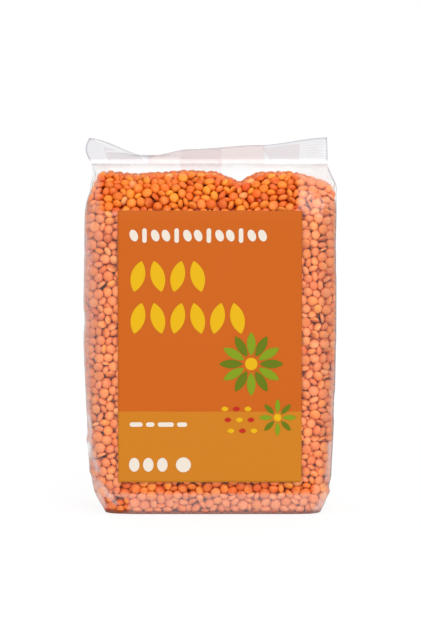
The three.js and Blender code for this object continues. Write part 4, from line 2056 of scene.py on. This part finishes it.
def capsule(middle: tuple, width: float, length: float, degrees: float) -> np.ndarray:
    """A bar with round ends."""
    straight = 1 - width / length

    def half_width(share: np.ndarray) -> np.ndarray:
        """Half the bar's width, rounded past its straight stretch."""
        past = np.clip((np.abs(share) - straight) / (1 - straight), 0.0, 1.0)
        return width / 2 * np.sqrt(1 - past**2)

    return lengthways(half_width, length, middle, degrees, steps=20)


def seed_shape(middle: tuple, width: float, length: float, degrees: float) -> np.ndarray:
    """A pointed oval."""
    return lengthways(lambda s: width / 2 * (1 - s**2) ** 0.85, length, middle, degrees)


@dataclass(frozen=True)
class SoftBox:
    """A lamp of the studio: a soft-edged disc of light in the surroundings.

    Attributes:
        direction: Where it stands, seen from the bag.
        reach: Its radius in degrees.
        edge: How wide its soft edge is, in degrees.
        radiance: How bright it is, where the white background is 1.
    """

    direction: tuple[float, float, float]
    reach: float
    edge: float
    radiance: float

    def add_to(
        self, tree: bpy.types.NodeTree, way: bpy.types.NodeSocket, light: bpy.types.NodeSocket
    ) -> bpy.types.NodeSocket:
        """Adds the lamp to the light of the surroundings.

        Args:
            tree: The world's tree.
            way: The direction that is looked in.
            light: The light without this lamp.

        Returns:
            The light with this lamp.
        """
        aim = tuple(unit(np.array([self.direction]))[0])
        lined_up = add_node(
            tree, "ShaderNodeVectorMath", {"operation": "DOT_PRODUCT"}, {0: way, 1: aim}
        )
        glow = add_node(
            tree,
            "ShaderNodeMapRange",
            {"interpolation_type": "SMOOTHSTEP"},
            {
                "Value": lined_up.outputs["Value"],
                "From Min": math.cos(math.radians(self.reach + self.edge)),
                "From Max": math.cos(math.radians(self.reach)),
                "To Max": self.radiance,
            },
        )
        both = add_node(tree, "ShaderNodeMath", {"operation": "ADD"}, {0: light, 1: glow.outputs["Result"]})
        return both.outputs[0]


@dataclass
class Studio:
    """A pale floor under soft light, and a camera at the photograph's angle.

    Attributes:
        distance: From the camera to the bag's front.
        elevation: How far the camera looks down, in degrees.
        sensor: The camera's sensor along the picture's longer side.
    """

    distance: float = 1300.0
    elevation: float = 5.5
    sensor: float = 36.0
    floor_half_size: float = 6000.0
    floor_level: float = -0.2
    floor_colour: str = "#616161"
    floor_roughness: float = 0.6
    floor_glow: float = 0.87
    sky: float = 0.48
    horizon: tuple[float, float] = (0.06, 0.22)
    boxes: tuple[SoftBox, ...] = (
        SoftBox((0.15, -1.0, 0.78), 25.0, 10.0, 2.4),
        SoftBox((0.0, 0.6, 1.0), 38.0, 14.0, 0.65),
        SoftBox((1.0, -0.3, 0.4), 26.0, 10.0, 0.75),
        SoftBox((-1.0, -0.3, 0.4), 26.0, 10.0, 0.5),
    )

    def camera(self) -> None:
        """Places the camera so that a pixel covers its size at the bag's front."""
        data = bpy.data.cameras.new("camera")
        data.sensor_width = self.sensor
        data.lens = self.sensor * self.distance / (PHOTO_HEIGHT * MM_PER_PIXEL)
        data.clip_end = 100.0
        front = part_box(BAG_NODE)[0][1] / MM
        height = (PHOTO_FLOOR_ROW - PHOTO_HEIGHT / 2) * MM_PER_PIXEL
        tilt = math.radians(self.elevation)
        camera = bpy.data.objects.new("camera", data)
        camera.location = (
            0.0,
            (front - self.distance * math.cos(tilt)) * MM,
            (height + self.distance * math.sin(tilt)) * MM,
        )
        camera.rotation_euler = (math.pi / 2 - tilt, 0.0, 0.0)
        bpy.context.scene.collection.objects.link(camera)
        bpy.context.scene.camera = camera

    def floor(self) -> None:
        """Lays a table that glows white from within, as a lit acrylic table does."""
        size = self.floor_half_size
        ways = ((-1, -1), (1, -1), (1, 1), (-1, 1))
        corners = np.array([(size * x, size * y, self.floor_level) for x, y in ways])
        table = make_object("floor", corners, [(0, 1, 2, 3)], smooth=False)
        material = bpy.data.materials.new("lit_acrylic")
        material.use_nodes = True
        skin = material.node_tree.nodes["Principled BSDF"]
        skin.inputs["Base Color"].default_value = linear(self.floor_colour)
        skin.inputs["Roughness"].default_value = self.floor_roughness
        skin.inputs["Specular IOR Level"].default_value = 0.0
        skin.inputs["Emission Color"].default_value = (1.0, 1.0, 1.0, 1.0)
        skin.inputs["Emission Strength"].default_value = self.floor_glow
        table.data.materials.append(material)
        table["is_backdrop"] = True

    def world(self) -> None:
        """Surrounds the scene with white up to the horizon, a greyer sky above it and the lamps."""
        world = bpy.data.worlds.new("studio")
        bpy.context.scene.world = world
        world.use_nodes = True
        tree = world.node_tree
        tree.nodes.clear()
        way = add_node(tree, "ShaderNodeTexCoord").outputs["Generated"]
        parts = add_node(tree, "ShaderNodeSeparateXYZ", links={0: way})
        base = add_node(
            tree,
            "ShaderNodeMapRange",
            {"interpolation_type": "SMOOTHSTEP"},
            {
                "Value": parts.outputs["Z"],
                "From Min": self.horizon[0],
                "From Max": self.horizon[1],
                "To Min": 1.0,
                "To Max": self.sky,
            },
        )
        light = base.outputs["Result"]
        for box in self.boxes:
            light = box.add_to(tree, way, light)
        glow = add_node(tree, "ShaderNodeBackground", Strength=1.0, links={"Color": light})
        add_node(tree, "ShaderNodeOutputWorld", links={"Surface": glow.outputs[0]})

    def build(self) -> None:
        """Makes the studio and sets how light becomes colour."""
        self.camera()
        self.floor()
        self.world()
        scene = bpy.context.scene
        scene.view_settings.view_transform = "Standard"
        scene.cycles.transparent_max_bounces = 32


def hidden_by_label(label: Label, margin: float) -> Callable:
    """Says where the label hides the lentils.

    Args:
        label: The label.
        margin: How far under the label's edges lentils still lie.

    Returns:
        A function of points that gives True where no lentil is needed.
    """

    def hidden(points: np.ndarray) -> np.ndarray:
        """Whether each point is behind the label's middle."""
        x, y, z = points.T
        inside = (x > label.left + margin) & (x < label.right - margin)
        return inside & (z > label.bottom + margin) & (z < label.top - margin) & (y < 0)

    return hidden


def main(cad_box: Iterable) -> None:
    """Builds the bag, its lentils, its label and the studio, in that order.

    Args:
        cad_box: The solids' box from right after loading; not used.
    """
    form = BagForm()
    bag = FilmBag(form)
    film, points, faces = bag.build()
    for tab in (
        GussetTab("gusset_tab_right", (23.9, 35.5), (21.0, 36.2), 0.8, 11.2),
        GussetTab("gusset_tab_left", (-41.0, -27.0), (-43.0, -30.0), 0.8, 9.0),
    ):
        tab.build(form, film.data.materials[0])
    label = Label(form)
    label.build()
    lentils = LentilFill(form)
    LentilCore(form, lentils.top_at).build()
    solid = SolidField(points, faces, FIELD_PITCH)
    LOG.info("film measured")
    lentils.build(solid, hidden_by_label(label, LABEL_OVERLAP), bag.painted_haze_at)
    Studio().build()


if __name__ == "__main__":
    logging.basicConfig(level=logging.INFO, format="%(message)s")
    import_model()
    main(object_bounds())
